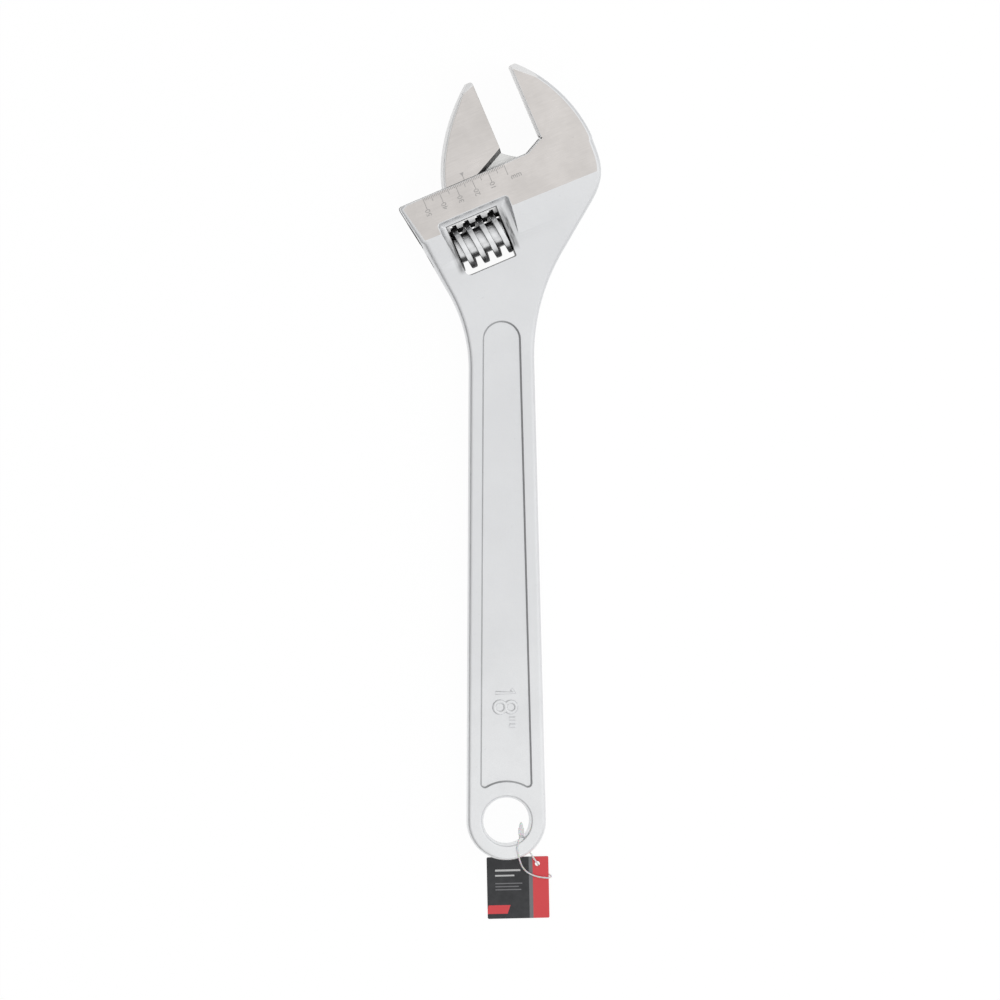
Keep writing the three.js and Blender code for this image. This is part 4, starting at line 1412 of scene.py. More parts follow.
        end = half(-self.panel_to_band)
        eye = self.hole_radius + self.hole_flare + self.rail
        wide, corner = half(eye - HOLE_TO_BAND), self.panel_corner
        reach = math.asin((wide - corner) / (eye + corner))
        low = -HOLE_TO_BAND + (eye + corner) * math.cos(reach)
        return np.vstack((
            arc(0, -self.panel_to_band - end, end, 0, math.pi, 48),
            arc(-wide + corner, low, corner, math.pi, 1.5 * math.pi + reach, 14),
            arc(0, -HOLE_TO_BAND, eye, math.pi / 2 + reach, math.pi / 2 - reach, 28)[1:-1],
            arc(wide - corner, low, corner, 1.5 * math.pi - reach, 2 * math.pi, 14)))

    def panel_cut(self, side: int) -> Form:
        """The recessed panel of one face, with a soft foot and a soft rim.

        Args:
            side: 1 for the upper face, -1 for the lower one.
        """
        floor = self.handle_half - self.panel_depth
        sunk = 0.75
        layers = [(self.panel_wall * (sunk - step),
                   floor + self.panel_depth * (1 - math.cos(step * math.pi)) / 2)
                  for step in np.linspace(0, 1, 9)] + [(self.panel_wall * (sunk - 1), self.sizes.half)]
        if side < 0:
            layers = [(inset, -z) for inset, z in reversed(layers)]
        return Form.layered(self.panel_outline(), layers, self.finishes["blasted"], IN_PLATE)

    def window_cut(self) -> Form:
        """The worm's window, right through the head, with softened rims."""
        s = self.sizes
        low = s.worm_v - s.worm_radius - self.window_below
        left, right = s.worm_u - s.window_half, s.worm_u + s.window_half
        outline = rounded([(left, low, self.window_corner), (right, low, 0.8),
                           (right, s.window_v, 0), (left, s.window_v, 0)])
        soft = 0.4
        floor = s.half - self.dish_depth
        turn = np.linspace(0, math.pi / 2, 5)
        rim = [(-soft * (1 - math.cos(angle)), floor - soft * (1 - math.sin(angle))) for angle in turn]
        layers = [(inset, -z) for inset, z in [*rim, (-soft, FAR)][::-1]] + [*rim, (-soft, FAR)]
        # the window's walls take the dark bored steel, partly painted shade
        return Form.layered(outline, layers, self.finishes["bored"], AXES.matrix())

    def dish_ring(self, inside: float, z: float, side: int, reach: float) -> np.ndarray:
        """One ring of the thumb dish.

        Args:
            inside: how far it lies inside the dish's rim.
            z: its height above the plate's middle.
            side: 1 for the upper face, -1 for the lower one.
            reach: width of the dish's wall.

        Returns:
            Its points.
        """
        s = self.sizes
        left = s.worm_u - s.window_half - self.dish_behind + inside
        right = s.worm_u + s.window_half + self.dish_ahead - inside
        low = s.worm_v - s.worm_radius - self.window_below - self.dish_below + inside
        high = s.window_v + self.dish_above - inside
        corner = self.dish_corner * (1 - inside / reach) + s.gap
        flat = rounded([(left + self.dish_narrowing, low, 0), (right - self.dish_narrowing, low, 0),
                        (right, high, corner), (left, high, corner)], 10)
        return np.column_stack((flat, np.full(len(flat), side * z)))

    def dish_cut(self, side: int) -> Form:
        """The thumb dish round the window on one face: hollow walls that turn over into a soft rim.

        Args:
            side: 1 for the upper face, -1 for the lower one.
        """
        half, depth, rim = self.sizes.half, self.dish_depth, self.dish_rim
        slope = math.radians(self.dish_slope)
        whole = depth / (1 - math.cos(slope))
        reach, hollow = whole * math.sin(slope), whole - rim
        rise = [(hollow * math.sin(angle), hollow * (1 - math.cos(angle)))
                for angle in np.linspace(0, slope, 12)]
        turn = [(reach - rim * math.sin(angle), depth - rim * (1 - math.cos(angle)))
                for angle in np.linspace(slope, math.radians(3), 7)[1:]]
        layers = [(reach - out, half - depth + up) for out, up in rise + turn]
        layers.append((layers[-1][0], FAR))
        rings = [self.dish_ring(inside, z, side, reach) for inside, z in layers]
        return Form.rings(rings if side > 0 else rings[::-1], self.finishes["blasted"], AXES.matrix())

    def slide_cuts(self) -> list[Form]:
        """The slot for the jaw's neck, the slide's bore, the pin's hole and the relief at the jaw's root."""
        s, bored = self.sizes, self.finishes["bored"]
        half = s.neck / 2 + s.gap
        nose = s.nose_line() + (s.face + 2 * s.gap, s.gap)
        top = nose[-1] + (-self.face_root, self.face_root)
        outline = np.vstack(([(-FAR, s.slide_v), (nose[0][0], s.slide_v)], nose, [top, (-FAR, top[1])]))
        slot = Form.layered(outline, [(0, -half), (0, half)], bored, AXES.matrix())
        bore = Form.rod(-FAR, s.face + s.ahead + 1, s.slide_radius + s.gap, bored, AXES.matrix(0, s.slide_v))
        shoulder = self.rear_side(s.worm_v) + s.pin_sunk + s.pin_head_length + s.gap
        head, pin, stop = s.pin_head + s.gap, s.pin_radius + s.gap, s.pin_end + s.gap
        profile = [(-FAR, 0), (-FAR, head), (shoulder, head), (shoulder, pin), (stop, pin), (stop, 0)]
        hole = Form.turned(profile, bored, AXES.matrix(0, s.worm_v), 64)
        root = AXES.matrix(s.face + self.relief / 2, self.face_root - self.relief / 2)
        # the relief at the jaw's root is near-black painted shade
        relief = Form.rod(-40, 40, self.relief, self.finishes["hollow"],
                          root @ Matrix.Rotation(math.pi / 2, 4, "Y"), segments=32)
        return [slot, bore, hole, relief]

    def build(self) -> Object:
        """Cuts the body, engraves its scale and gives each face its finish."""
        s = self.sizes
        form = self.blank()
        form.act(Join.CUT, [self.hole_cut(), self.panel_cut(1), self.panel_cut(-1)])
        form.act(Join.CUT, [self.dish_cut(1), self.dish_cut(-1)])
        form.act(Join.CUT, [self.window_cut(), *self.slide_cuts()])
        form.act(Join.CUT, Ruler(s, self.finishes).cutters())
        # facets at the fixed jaw's tip, real ground facets made paler as painted highlight
        form.act(Join.CUT, facets(s.half, self.finishes["polished"], (s.face, s.tip), self.facet))
        lowest, foremost = s.band - 0.6, s.face + 3

        def is_ground(spot: Vector, way: Vector) -> bool:
            """Whether a face belongs to the band or to the jaw's sides."""
            return abs(way.z) > LEVEL and abs(abs(spot.z) - s.half) < SAME

        def is_wall(spot: Vector, way: Vector) -> bool:
            """Whether a face belongs to the gripping face, the throat or the band's upper wall."""
            return abs(way.z) < STEEP and spot.y > lowest and spot.x < foremost

        def is_seam(spot: Vector, way: Vector) -> bool:
            """Whether a face is a wall of one of the handle's panels, which is painted darker as shade."""
            inside = abs(spot.x) < self.seam_reach and self.seam_reach - HOLE_TO_BAND < spot.y < self.seam_top
            return inside and abs(way.z) < STEEP and abs(spot.z) > self.seam_height

        # the panels' walls get a darker copy of the chrome as painted shade
        form.dress(self.finishes["seam"], is_seam)
        form.dress(self.finishes["ground"], is_ground, TO_HEAD)
        # the gripping face, the throat and the band's wall get the paler chrome as painted sheen
        form.dress(self.finishes["rack"], is_wall, TO_HEAD)
        return form.piece("wrench_body", "satin_chrome", "frame", "body")


@dataclass
class Ruler:
    """The millimetre scale on the band: tick marks, their numbers and the unit."""

    sizes: SlideSizes
    finishes: dict
    zero_behind_face: float = 25.6
    depth: float = 0.22
    width: float = 0.36
    lengths: tuple = (2.1, 3.9, 7.0)
    spread: float = 0.12
    over: float = 0.2
    number_height: float = 3.0
    number_v: float = 2.0
    unit_at: tuple = (4.2, 2.2)

    def cutters(self) -> list[Form]:
        """The forms that engrave the scale."""
        s, mark = self.sizes, self.finishes["etched"]
        zero, thick = s.face - self.zero_behind_face, 2 * self.depth
        up = Matrix.Translation((0, 0, s.half))
        short, middle, long = self.lengths
        ticks = grown("ticks", GROWTHS.ticks, {
            "Count": 51, "Pitch": -1.0, "Width": self.width, "Depth": thick, "Short": short, "Middle": middle,
            "Long": long, "Spread": self.spread, "Finish": mark})
        made = [Form(ticks, mark, AXES.matrix(zero, s.band + self.over) @ up)]
        for number in range(10, 60, 10):
            place = AXES.matrix(zero - number, self.number_v) @ Matrix.Rotation(math.pi / 2, 4, "Z") @ up
            made.append(lettered(str(number), self.number_height, thick, mark, place))
        u, v = self.unit_at
        made.append(lettered("mm", self.number_height, thick, mark, AXES.matrix(zero + u, v) @ up))
        return made


def facets(half: float, finish: Material, tip: tuple[float, float],
           facet: tuple[tuple, tuple, float]) -> list[Form]:
    """Wedges that grind a flat facet on both faces of a jaw, at the right of a line.

    Args:
        half: half the jaw's thickness.
        finish: the facet's finish.
        tip: the tip of the gripping face, in the head's axes.
        facet: where the line starts and ends, from the tip, and the facet's slope in degrees.

    Returns:
        The forms to cut away, for the upper and the lower face.
    """
    (start_u, start_v), (end_u, end_v) = ((tip[0] + u, tip[1] + v) for u, v in facet[:2])
    way = math.atan2(end_v - start_v, end_u - start_u) - math.pi / 2
    block = np.array([(0, -20), (15, -20), (15, 20), (0, 20)], dtype=float)
    made = []
    for side in (1, -1):
        place = (AXES.matrix((start_u + end_u) / 2, (start_v + end_v) / 2)
                 @ Matrix.Translation((0, 0, side * half)) @ Matrix.Rotation(way, 4, "Z")
                 @ Matrix.Rotation(math.radians(side * facet[2]), 4, "Y"))
        layers = [(0, 0), (0, 8)] if side > 0 else [(0, -8), (0, 0)]
        made.append(Form.layered(block, layers, finish, place))
    return made


FIGURE_MERGE = 1e-3
CAPITAL = 0.7  # height of a capital as a share of the font's size


def lettered(text: str, height: float, depth: float, finish: Material, place: Matrix) -> Form:
    """Figures as one closed form, centred on the place.

    Args:
        text: the figures.
        height: height of a capital.
        depth: thickness of the form.
        finish: its finish.
        place: where it goes.

    Returns:
        The form.
    """
    curve = bpy.data.curves.new("figures", "FONT")
    curve.body = text
    curve.size = height / CAPITAL
    curve.extrude = depth / 2
    curve.align_x = "CENTER"
    curve.align_y = "CENTER"
    curve.resolution_u = 3
    mesh = plain(placed("figures", curve))
    tidy(mesh, FIGURE_MERGE)
    return Form(mesh, finish, place)


@dataclass
class SlidingJaw:
    """The movable jaw: horn, neck web, and the round slide with its rack."""

    sizes: SlideSizes
    finishes: dict
    horn_length: float = 38.7
    rack_tip: float = 2.2
    rack_root_gap: float = 3.4
    index_behind_face: float = 25.75
    foot_gap: float = 0.1
    web_inset: float = 4.8
    facet: tuple = ((1.0, -2.0), (-10.0, -5.6), 18.0)  # its line's ends from the tip, its slope
    end_soft: tuple = ((0, 1), (0.3, 0.35), (1, 0))

    def horn(self) -> Form:
        """The horn with its curved back and its gripping face."""
        s = self.sizes
        foot = s.band + self.foot_gap
        back = bulge((-s.tip_width, s.tip), (-self.horn_length, foot), (0.525, 0.295), (0.885, 0.684), 64)
        chin = s.chin - s.chin_drop
        heel = (-(chin - foot) / math.tan(math.radians(s.heel_slope)), foot)
        rows = [((0, chin), GROUND), ((0, s.tip - s.tip_round), GROUND), ((-s.tip_round, s.tip), GROUND)]
        rows += [(tuple(point), back_edge(number)) for number, point in enumerate(back[:-1])]
        rows += [((-self.horn_length, foot), FOOT), (heel, Edge(GROUND.round, s.heel_draft))]
        outline = np.array([point for point, _ in rows])
        halves = np.full(len(rows), s.jaw_thickness / 2)
        return Form.plate(outline, halves, [edge for _, edge in rows], self.finishes["ground"],
                          AXES.matrix(s.jaw_u))

    def web(self) -> Form:
        """The thin neck between the horn and the slide."""
        s = self.sizes
        inset = self.web_inset
        rear = -self.horn_length + inset
        outline = np.vstack(([(rear, s.slide_v), (s.nose + 1, s.slide_v)], s.nose_line(),
                             [(-inset, s.chin + inset / 2), (rear + inset / 2, s.band + inset)]))
        half = s.neck / 2
        soft = [(0.3, 0), (0.08, 0.08), (0, 0.3)]
        layers = [(inside, -half + up) for inside, up in soft]
        layers += [(inside, half - up) for inside, up in reversed(soft)]
        return Form.layered(outline, layers, self.finishes["ground"], AXES.matrix(s.jaw_u))

    def gaps(self) -> Form:
        """The gaps of the rack, which lean by the worm's lead angle."""
        s = self.sizes
        tip = s.slide_v - s.slide_radius
        mouth = s.lead - self.rack_tip
        depth = s.rack_v - tip + 1
        mouth += (mouth - self.rack_root_gap) / (s.rack_v - tip)
        lean = s.lead / (math.pi * (s.worm_radius + s.worm_root))
        count = int((s.behind + s.ahead) // s.lead)
        # the rack's gaps are near-black painted shade
        mesh = grown("gaps", GROWTHS.gaps, {
            "Count": count, "Pitch": s.lead, "Mouth": mouth, "Bottom": self.rack_root_gap, "Depth": depth,
            "Length": 2.4 * s.slide_radius, "Lean": lean, "Finish": self.finishes["hollow"]})
        return Form(mesh, self.finishes["hollow"], AXES.matrix(s.jaw_u - s.behind + s.lead / 2, s.rack_v))

    def index_mark(self) -> Form:
        """The etched mark that is read against the scale."""
        s, depth = self.sizes, 0.2
        u, v = -self.index_behind_face, s.band + s.gap
        outline = np.array([(u - 0.2, v - 0.3), (u + 0.2, v - 0.3), (u + 0.2, v + 2.6), (u + 1.2, v + 4.2),
                            (u - 1.2, v + 4.2), (u - 0.2, v + 2.6)])
        return Form.layered(outline, [(0, s.jaw_thickness / 2 - depth), (0, s.jaw_thickness / 2 + 1)],
                            self.finishes["etched"], AXES.matrix(s.jaw_u))

    def build(self) -> Object:
        """Joins the jaw's forms, cuts the rack and etches the index mark."""
        s = self.sizes
        # the slide and its rack get the paler chrome as painted sheen
        slide = Form.rod(-s.behind, s.ahead, s.slide_radius, self.finishes["rack"],
                         AXES.matrix(s.jaw_u, s.slide_v), self.end_soft)
        form = self.horn()
        form.act(Join.ADD, [self.web(), slide])
        form.act(Join.CUT, [self.gaps(), self.index_mark(), *facets(
            s.jaw_thickness / 2, self.finishes["polished"], (s.jaw_u, s.tip), self.facet)])
        web_half = s.neck / 2 + 0.1

        def is_back(spot: Vector, way: Vector) -> bool:
            """Whether a face belongs to the horn's curved back."""
            return spot.y > s.band and abs(way.z) < 0.98 and way.x < -0.02

        def is_tip(spot: Vector, way: Vector) -> bool:
            """Whether a face is the underside of the rack's teeth."""
            return spot.y < s.slide_v - 0.7 * s.slide_radius and way.y < -0.5

        def is_heel(spot: Vector, way: Vector) -> bool:
            """Whether a face is the horn's underside."""
            return spot.y > s.band and way.y < -0.5

        def is_web(spot: Vector, way: Vector) -> bool:
            """Whether a face is a side of the neck."""
            return abs(way.z) > STEEP and abs(spot.z) < web_half

        def is_nose(spot: Vector, way: Vector) -> bool:
            """Whether a face is the neck's front."""
            return abs(way.z) < STEEP and abs(spot.z) < web_half and spot.x > s.jaw_u + s.gap

        # painted shade: the teeth's undersides and the neck's front near-black, the horn's underside grey;
        # the horn's back gets the paler chrome as painted sheen
        for finish, test in (("rack", is_back), ("hollow", is_tip), ("flank", is_heel), ("brushed", is_web),
                             ("hollow", is_nose)):
            form.dress(self.finishes[finish], test, TO_HEAD)
        return form.piece("sliding_jaw", "ground_chrome", "jaw", "movable_jaw")


@dataclass
class WormSet:
    """The worm, the pin that it turns on, and the spring that takes up its play."""

    sizes: SlideSizes
    finishes: dict
    crest: float = 1.9
    foot: float = 3.5
    crest_over: float = 0.7
    end_slope: float = 1.4
    slot_half: tuple = (1.4, 0.6)
    spring_radius: float = 4.3
    spring_wire: float = 1.1
    spring_length: float = 11.0
    spring_turns: float = 5.0

    @property
    def along_axis(self) -> Matrix:
        """The place of a form made round the Z axis: Z goes along u, X along v and Y up."""
        turn = Matrix(((0, 0, 1, 0), (1, 0, 0, 0), (0, 1, 0, 0), (0, 0, 0, 1)))
        return AXES.matrix(self.sizes.worm_u, self.sizes.worm_v) @ turn

    def worm(self) -> Object:
        """The worm with its rounded crests."""
        s = self.sizes
        half = s.worm_length / 2
        place = AXES.matrix(s.worm_u, s.worm_v)
        sunk = 0.5
        height = s.worm_radius - s.worm_root + sunk
        phase = (s.jaw_u - s.behind + s.lead / 2 - s.worm_u) / s.lead
        turns = s.worm_length / s.lead + 2  # a spare turn at each end, which the trim takes off
        start = -turns / 2
        mesh = grown("thread", GROWTHS.coil, {
            "Radius": s.worm_root - sunk + height / 2, "Lead": s.lead, "Turns": turns, "Steps": 108,
            "Foot": self.foot, "Crest": self.crest, "Height": height, "Round": 0.55,
            "Finish": self.finishes["worm"]})
        twist = Matrix.Rotation(2 * math.pi * (start - phase), 4, "Z")
        thread = Form(mesh, self.finishes["worm"],
                      self.along_axis @ Matrix.Translation((0, 0, start * s.lead)) @ twist)
        worm, bored = self.finishes["worm"], self.finishes["bored"]
        trim = Form.rod(-half, half, s.worm_radius + self.crest_over, worm, place,
                        ((0, self.end_slope), (self.end_slope, 0)))
        core = Form.rod(-half, half, s.worm_root, worm, place, ((0, 0.6), (0.2, 0.2), (0.6, 0)))
        bore = Form.rod(-FAR, FAR, s.pin_radius + s.gap, bored, place, segments=48)
        seat = self.spring_radius + self.spring_wire / 2 + s.gap
        pocket = Form.rod(half - self.spring_length - s.gap, FAR, seat, bored, place, segments=48)
        thread.act(Join.KEEP, [trim])
        thread.act(Join.ADD, [core])
        thread.act(Join.CUT, [bore, pocket])

        def is_flank(spot: Vector) -> bool:
            """Whether a face's middle lies on the thread, clear of the core."""
            return math.hypot(spot.y, spot.z) > clear

        to_worm, clear = place.inverted(), s.worm_root + 0.2
        # painted shade on the thread's sides: near-black on those facing forward, grey on those facing back
        thread.dress(self.finishes["hollow"], lambda spot, way: way.x > 0.6 and is_flank(spot), to_worm)
        thread.dress(self.finishes["flank"], lambda spot, way: way.x < -0.6 and is_flank(spot), to_worm)
        return thread.piece("knurled_worm", "satin_chrome", "knurl", "worm")

    def pin(self, rear: float) -> Object:
        """The pin with its slotted head.

        Args:
            rear: where the head's rear side lies at the worm's height.
        """
        s = self.sizes
        start, end, wide, narrow = rear + s.pin_sunk, s.pin_end, s.pin_head, s.pin_radius
        shoulder = start + s.pin_head_length
        profile = [(start, 0), (start, wide - 0.6), (start + 0.15, wide - 0.2), (start + 0.6, wide),
                   (shoulder, wide), (shoulder, narrow), (end - 0.5, narrow), (end, narrow - 0.5), (end, 0)]
        form = Form.turned(profile, self.finishes["turned"], AXES.matrix(0, s.worm_v), 64)
        deep, half = self.slot_half
        cut = rounded([(-deep, -half, 0), (deep, -half, 0.1), (deep, half, 0.1), (-deep, half, 0)], 4)
        slot = Form.layered(cut, [(0, -6), (0, 6)], self.finishes["bored"], AXES.matrix(start, s.worm_v))
        form.act(Join.CUT, [slot])
        return form.piece("worm_axle", "satin_chrome", "frame", "worm_pin")

    def spring(self) -> Object:
        """The small spring in the worm's end."""
        s = self.sizes
        length = self.spring_length - self.spring_wire
        mesh = grown("spring", GROWTHS.coil, {
            "Radius": self.spring_radius, "Lead": length / self.spring_turns, "Turns": self.spring_turns,
            "Steps": 160, "Round": self.spring_wire / 2, "Wire": True, "Finish": self.finishes["spring"]})
        end = s.window_half - s.gap - self.spring_length + self.spring_wire / 2
        form = Form(mesh, self.finishes["spring"], self.along_axis @ Matrix.Translation((0, 0, end)))
        return form.piece("coil_spring", "spring_steel", "frame", "worm_spring")


@dataclass
class SizeMark:
    """The raised size mark in the panel, read from the side: figures with rounded strokes."""

    finishes: dict
    floor: float = 19.0
    rise: float = 0.7
    stroke: float = 1.15

    def strokes(self) -> list[tuple[list, bool]]:
        """The lines of the figures in the frame's axes, and whether each is closed."""
        one = [(-5.6, 73.4), (5.3, 73.4), (3.6, 75.3)]
        loops = [arc(x, 65.2, radius, 0, 2 * math.pi, 40)[:-1] for x, radius in ((3.1, 3.1), (-3.1, 3.3))]
        inches = [[(2.2, y), (5.6, y)] for y in (58.6, 54.6)]
        lines = [(one, False), *((loop, True) for loop in loops), *((line, False) for line in inches)]
        return [([(x, y - HOLE_TO_BAND, 0) for x, y in line], closed) for line, closed in lines]

    def build(self) -> Object:
        """Makes the strokes as one form with soft sides."""
        flat = Matrix.Translation((0, 0, self.floor)) @ Matrix.Diagonal((1, 1, self.rise / self.stroke, 1))
        parts = []
        for line, closed in self.strokes():
            mesh = plain(placed("stroke", drawn("stroke", line, self.stroke, 6, closed)))
            tidy(mesh, FIGURE_MERGE)
            parts.append(Form(mesh, self.finishes["blasted"], flat))
        form = parts[0]
        form.act(Join.ADD, parts[1:])
        return form.piece("size_mark", "satin_chrome", "frame")


# ---- Tag, filament and lock ----------------------------------------------------------------------


def catmull(points: Sequence[Sequence[float]], steps: int) -> np.ndarray:
    """A smooth line through points: centripetal, so that it doesn't overshoot.

    Args:
        points: the points.
        steps: steps between two points.

    Returns:
        One row for each point of the line.
    """
    rows = np.asarray(points, float)
    rows = np.vstack((2 * rows[0] - rows[1], rows, 2 * rows[-1] - rows[-2]))
    spans = (((0, 1), (1, 2), (2, 3)), ((0, 2), (1, 3)), ((1, 2),))
    line = []
    for i in range(1, len(rows) - 2):
        near = rows[i - 1:i + 3]
        knots = np.cumsum([0, *(np.linalg.norm(step) ** 0.5 for step in np.diff(near, axis=0))])
        for t in np.linspace(knots[1], knots[2], steps, endpoint=False):
            level = near
            for pairs in spans:
                level = [level[k] * (knots[b] - t) / (knots[b] - knots[a])
                         + level[k + 1] * (t - knots[a]) / (knots[b] - knots[a])
                         for k, (a, b) in enumerate(pairs)]
            line.append(level[0])
    return np.array([*line, rows[-2]])


@dataclass
class TagSet:
    """The hang tag, the filament that holds it, and the filament's barbed lock."""

    finishes: dict
    width: float = 35.5
    height: float = 35.6
    thickness: float = 0.6
    corner: float = 0.8
    hole: tuple = (11.4, 13.6)
    hole_radius: float = 1.4
    at: tuple = (7.1, -39.9, 1.32)
    turn: tuple = (1.9, -2.25, 0.6)
    filament: float = 0.9
    lock_at: tuple = (8.3, -4.7, 18.9)
    lock_half: tuple = (1.6, 3.8, 1.2)
    lock_soft: float = 0.22
    route: tuple = (
        (7.6, -9.0, 19.2), (7.0, -10.5, 20.7), (6.2, -12.6, 21.5), (5.9, -15.4, 21.5), (6.2, -18.4, 21.5),
        (6.9, -21.3, 20.8), (7.6, -23.6, 18.6), (8.3, -25.5, 15.2), (9.4, -27.5, 11.0), (11.0, -29.6, 7.0),
        (13.2, -31.5, 4.3), (16.0, -32.9, 3.4), (19.0, -33.8, 3.4), (22.2, -34.3, 3.6), (24.6, -34.4, 3.5),
        (26.2, -33.8, 2.3), (25.0, -32.6, 1.15), (22.8, -31.0, 0.95), (20.8, -29.3, 0.95), (19.3, -27.7, 1.3),
        (18.5, -26.4, 2.5), (17.7, -25.2, 4.0), (16.4, -23.2, 5.2), (14.6, -20.5, 5.9), (12.6, -17.5, 6.1),
        (10.8, -14.8, 6.1), (9.4, -12.6, 6.1), (8.5, -10.9, 6.7), (8.0, -9.8, 8.4), (8.0, -9.3, 11.0),
        (8.4, -9.1, 14.2), (8.9, -9.0, 16.8), (9.1, -9.0, 18.4))

    @property
    def origin(self) -> Matrix:
        """The point of the resting face under the hang hole's centre."""
        return Matrix.Translation((0, -HOLE_TO_BAND, 0))

    @property
    def card_place(self) -> Matrix:
        """Where the card's middle lies, and how it is turned."""
        turn = Euler([math.radians(angle) for angle in self.turn]).to_matrix().to_4x4()
        return self.origin @ Matrix.Translation(self.at) @ turn

    def line(self) -> np.ndarray:
        """The filament's centre line in metres."""
        return (catmull(self.route, 6) - (0, HOLE_TO_BAND, 0)) * MM

    def loop(self) -> Object:
        """The filament, as one open spline from the lock and back to it."""
        curve = drawn("tag_filament", self.line(), self.filament / 2 * MM, 3)
        curve.materials.append(self.finishes["nylon"])
        piece = placed("tag_filament", curve)
        return settle(piece, "tag_filament", "nylon", "frame", "tag_loop")

    def lock(self) -> Object:
        """The lock: a flat block with a barbed arrow, its edges rounded by moulding."""
        w, l, t = self.lock_half
        right = [(w, -l, 0.5), (w, 0.38, 0.35), (w * 0.7, 0.38, 0.1), (w * 0.7, 1.52, 0.3), (w * 0.3, l, 0.3)]
        outline = rounded([(-w, -l, 0.5), *right, *((-x, y, r) for x, y, r in right[:0:-1])], 4)
        turn, soft = np.linspace(0, math.pi / 2, 5), self.lock_soft
        top = [(soft * (1 - math.cos(angle)), t - soft + soft * math.sin(angle)) for angle in turn]
        place = self.origin @ Matrix.Translation(self.lock_at)
        form = Form.layered(outline, [(i, -z) for i, z in reversed(top)] + top, self.finishes["nylon"], place)
        return form.piece("filament_lock", "nylon", "frame", "loop_lock")

    def card(self) -> Object:
        """The printed card with a punched hole, mapped in millimetres from its middle."""
        w, h, r = self.width / 2, self.height / 2, self.corner
        outline = rounded([(-w, -h, r), (w, -h, r), (w, h, r), (-w, h, r)], 6)
        half = self.thickness / 2
        form = Form.layered(outline, [(0, 0), (0, self.thickness)], self.finishes["card"])
        punch = Form.layered(arc(*self.hole, self.hole_radius, 0, 2 * math.pi, 48)[:-1],
                             [(0, -half * 4), (0, half * 8)], self.finishes["edge"])
        form.act(Join.CUT, [punch])
        mesh = form.object.data
        layer = mesh.uv_layers.new(name="card")
        for loop in mesh.loops:
            layer.data[loop.index].uv = mesh.vertices[loop.vertex_index].co.xy
        mesh.transform(self.card_place)
        up = self.card_place.to_3x3() @ Vector((0, 0, 1))
        form.dress(self.finishes["edge"], lambda middle, normal: abs(normal.dot(up)) < 0.5)
        return form.piece("printed_tag", "tag_card", "frame", "hang_tag", sharp=40)

    def build(self) -> list[Object]:
        """Makes the card and the lock."""
        return [self.lock(), self.card()]


# ---- Studio --------------------------------------------------------------------------------------


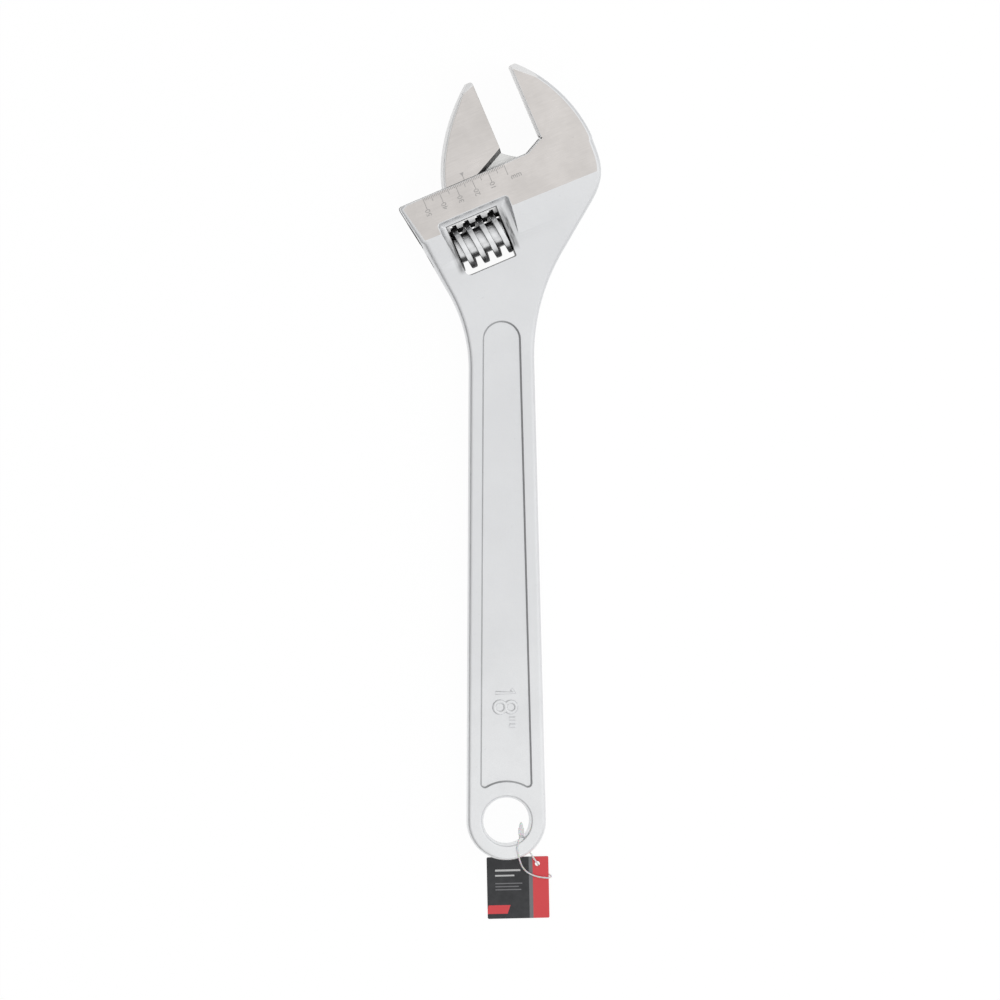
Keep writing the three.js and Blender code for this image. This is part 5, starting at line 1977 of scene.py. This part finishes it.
@dataclass
class Studio:
    """Floor, soft light and camera."""

    aim: tuple = (-1.6, -179.4, 14.0)
    lean: float = 3.0
    pitch: float = 2.3
    roll: float = 0.6
    distance: float = 4200.0
    field: float = 571.6
    sensor: float = 36.0
    floor_size: float = 8.0
    floor_gap: float = 0.0002
    glow: float = 1.025
    glow_share: float = 0.92
    lights: tuple = (("top_lamp", (0.5, 0.25, 1.3), 1.2, 1.6), ("right_lamp", (1.4, 0.0, 0.7), 0.9, 1.2),
                     ("front_lamp", (0.1, -1.0, 0.8), 0.9, 0.9))  # name, place from the aim, size, power

    def camera(self) -> None:
        """A camera that looks down a little from the left."""
        data = bpy.data.cameras.new("camera")
        data.sensor_width = self.sensor
        data.lens = self.sensor * self.distance / self.field
        data.clip_end = 100.0
        made = placed("camera", data)
        lean, pitch = math.radians(self.lean), math.radians(self.pitch)
        back = Vector((-math.sin(lean), math.sin(pitch), math.cos(lean) * math.cos(pitch))).normalized()
        side = Vector((0, 1, 0)).cross(back).normalized()
        level = Matrix((side, back.cross(side), back)).transposed().to_4x4()
        made.matrix_world = (Matrix.Translation((Vector(self.aim) + back * self.distance) * MM)
                             @ level @ Matrix.Rotation(-math.radians(self.roll), 4, "Z"))
        bpy.context.scene.camera = made

    @staticmethod
    def shows(tree: Tree, gloss: bool) -> Socket:
        """1 for rays from the camera and through glass, and from gloss if that is asked for."""
        path = tree.add("ShaderNodeLightPath")
        seen = tree.math("MAXIMUM", path.outputs["Is Camera Ray"], path.outputs["Is Transmission Ray"])
        return tree.math("MAXIMUM", seen, path.outputs["Is Glossy Ray"]) if gloss else seen

    def world(self) -> None:
        """A soft tent: bright above, dimmer towards the horizon, most of all at the left."""
        world = bpy.data.worlds.new("tent")
        world.use_nodes = True
        bpy.context.scene.world = world
        tree = Tree(world.node_tree)
        light = world.node_tree.nodes["Background"]
        x, _, z = tree.parts(tree.add("ShaderNodeTexCoord").outputs["Generated"])
        height = tree.span(z, 0.0, 0.75)
        side = tree.span(x, -0.8, 0.6)
        horizon = tree.scaled(side, 0.2, 0.5)
        up = tree.times(height, tree.minus(0.8, horizon))
        band = tree.times(tree.span(z, 0.08, 0.3), tree.span(z, 0.7, 0.4))
        dip = tree.times(band, tree.minus(0.55, tree.times(side, 0.5)))
        level = tree.minus(tree.plus(horizon, up), dip)
        shown = tree.math("MAXIMUM", level, self.shows(tree, False))
        grey = tree.out("ShaderNodeCombineColor", {0: shown, 1: shown, 2: shown})
        world.node_tree.links.new(grey, light.inputs["Color"])

    def floor(self) -> None:
        """A plain white floor that keeps the shadow."""
        low = CAD_BOX[0][2]
        bpy.ops.mesh.primitive_plane_add(size=self.floor_size, location=(0, 0, low - self.floor_gap))
        floor = bpy.context.object
        floor.name = "floor"
        made = Surface("floor_white", Roughness=0.9)
        tree = made.tree
        seen = self.shows(tree, True)
        made.feed(Base_Color=tree.mix(seen, (0.7, 0.7, 0.7, 1), (0.9, 0.9, 0.9, 1)))
        glow = tree.out("ShaderNodeEmission", {"Color": (1, 1, 1, 1), "Strength": self.glow})
        share = tree.times(seen, self.glow_share)
        mixed = tree.out("ShaderNodeMixShader", {0: share, 1: made.shader.outputs[0], 2: glow})
        end = made.material.node_tree.nodes["Material Output"]
        made.material.node_tree.links.new(mixed, end.inputs["Surface"])
        floor.data.materials.append(made.material)

    def lamps(self) -> None:
        """Soft lamps above and beside the object."""
        middle = Vector(self.aim) * MM
        for name, offset, size, power in self.lights:
            data = bpy.data.lights.new(name, "AREA")
            data.size = size
            data.energy = power
            lamp = placed(name, data)
            lamp.location = middle + Vector(offset)
            lamp.rotation_euler = (-Vector(offset)).to_track_quat("-Z", "Y").to_euler()

    def build(self) -> None:
        """Sets the world, the floor and the lamps."""
        bpy.context.scene.view_settings.view_transform = "Standard"
        self.world()
        self.floor()
        self.lamps()


def finishes() -> dict:
    """Every finish of the tool, by a short name."""
    prints = (
        Print(Ink.RED, 8.6, 40.0, -40.0, 40.0), Print(Ink.GREY, 6.4, 8.6, -40.0, 40.0),
        Print(Ink.RED, -13.5, -1.0, -15.0, -10.0, 0.35), Print(Ink.PALE, -13.0, 1.5, 9.5, 10.6),
        Print(Ink.PALE, -13.0, -2.0, 6.6, 7.5), Print(Ink.GREY, -13.0, 2.5, 2.2, 2.8),
        Print(Ink.GREY, -13.0, 0.5, 0.4, 1.0), Print(Ink.GREY, -13.0, 1.8, -1.4, -0.8))
    head = AXES.angle
    white, light = (0.95, 0.95, 0.95, 1), (0.86, 0.86, 0.86, 1)
    kinds = {
        "blasted": BlastedChrome("blasted_chrome", grime=PAINTED_DISH_SHADE, fade=0.92),
        "worm": BlastedChrome("worm_chrome", (0.84, 0.848, 0.858, 1), roughness=0.3, pit_depth=8e-6,
                              swell_depth=1e-5),
        # a paler, less metallic copy of the chrome: painted sheen on the slide and rack, the horn's back, the
        # gripping face, the throat and the band's wall
        "rack": BlastedChrome("painted_sheen_chrome", white, light, 0.5, 8e-6, 1e-5, 0.7),
        # a darker copy of the chrome: painted shade on the panels' walls
        "seam": BlastedChrome("seam_chrome", (0.6, 0.605, 0.61, 1), (0.45, 0.455, 0.46, 1)),
        # dark grey painted shade for the horn's underside and the thread's backward sides
        "flank": PlainSteel("painted_shade_grey_steel", (0.34, 0.34, 0.34, 1), (0.2, 0.2, 0.2, 1)),
        # near-black painted shade for the rack's gaps and teeth, the neck's front, the thread's sides and the
        # relief
        "hollow": PlainSteel("painted_shade_black", (0.05, 0.05, 0.05, 1), (0.02, 0.02, 0.02, 1), 0.6),
        "ground": GroundSteel("ground_chrome", lines=head),
        "turned": PlainSteel("turned_steel"),
        # darker unplated steel in the bores, the slot and the window, made dark also as painted shade inside
        # them
        "bored": PlainSteel("bored_steel", (0.3, 0.3, 0.3, 1), (0.15, 0.15, 0.15, 1), 0.5),
        "spring": PlainSteel("spring_wire", (0.5, 0.5, 0.51, 1), (0.3, 0.3, 0.31, 1)),
        # ground facets made paler than the ground steel: partly a painted highlight on the jaws' tips
        "polished": GroundSteel("polished_facet", (0.97, 0.97, 0.97, 1), (0.9, 0.9, 0.9, 1), 0.22, head,
                                2e-6),
        "brushed": GroundSteel("brushed_neck", (0.8, 0.8, 0.79, 1), (0.62, 0.62, 0.61, 1), 0.3, head, 6e-6),
        "etched": Engraving(),
        "nylon": MilkyNylon(),
        "card": PrintedCard("printed_card", prints),
        "edge": CardEdge(),
    }
    return {key: kind.material() for key, kind in kinds.items()}


def main() -> None:
    """Builds the scene: camera and filament first, then the tool, its tag and the studio."""
    logging.basicConfig(level=logging.INFO, format="%(message)s")
    sizes = SlideSizes()
    kinds = finishes()
    studio = Studio()
    studio.camera()
    tags = TagSet(kinds)
    loop = tags.loop()
    tags.build()
    body = ForgedBody(sizes, kinds)
    body.build()
    SlidingJaw(sizes, kinds).build()
    worms = WormSet(sizes, kinds)
    worms.worm()
    worms.pin(body.rear_side(sizes.worm_v))
    worms.spring()
    SizeMark(kinds).build()
    studio.build()


if __name__ == "__main__":
    main()
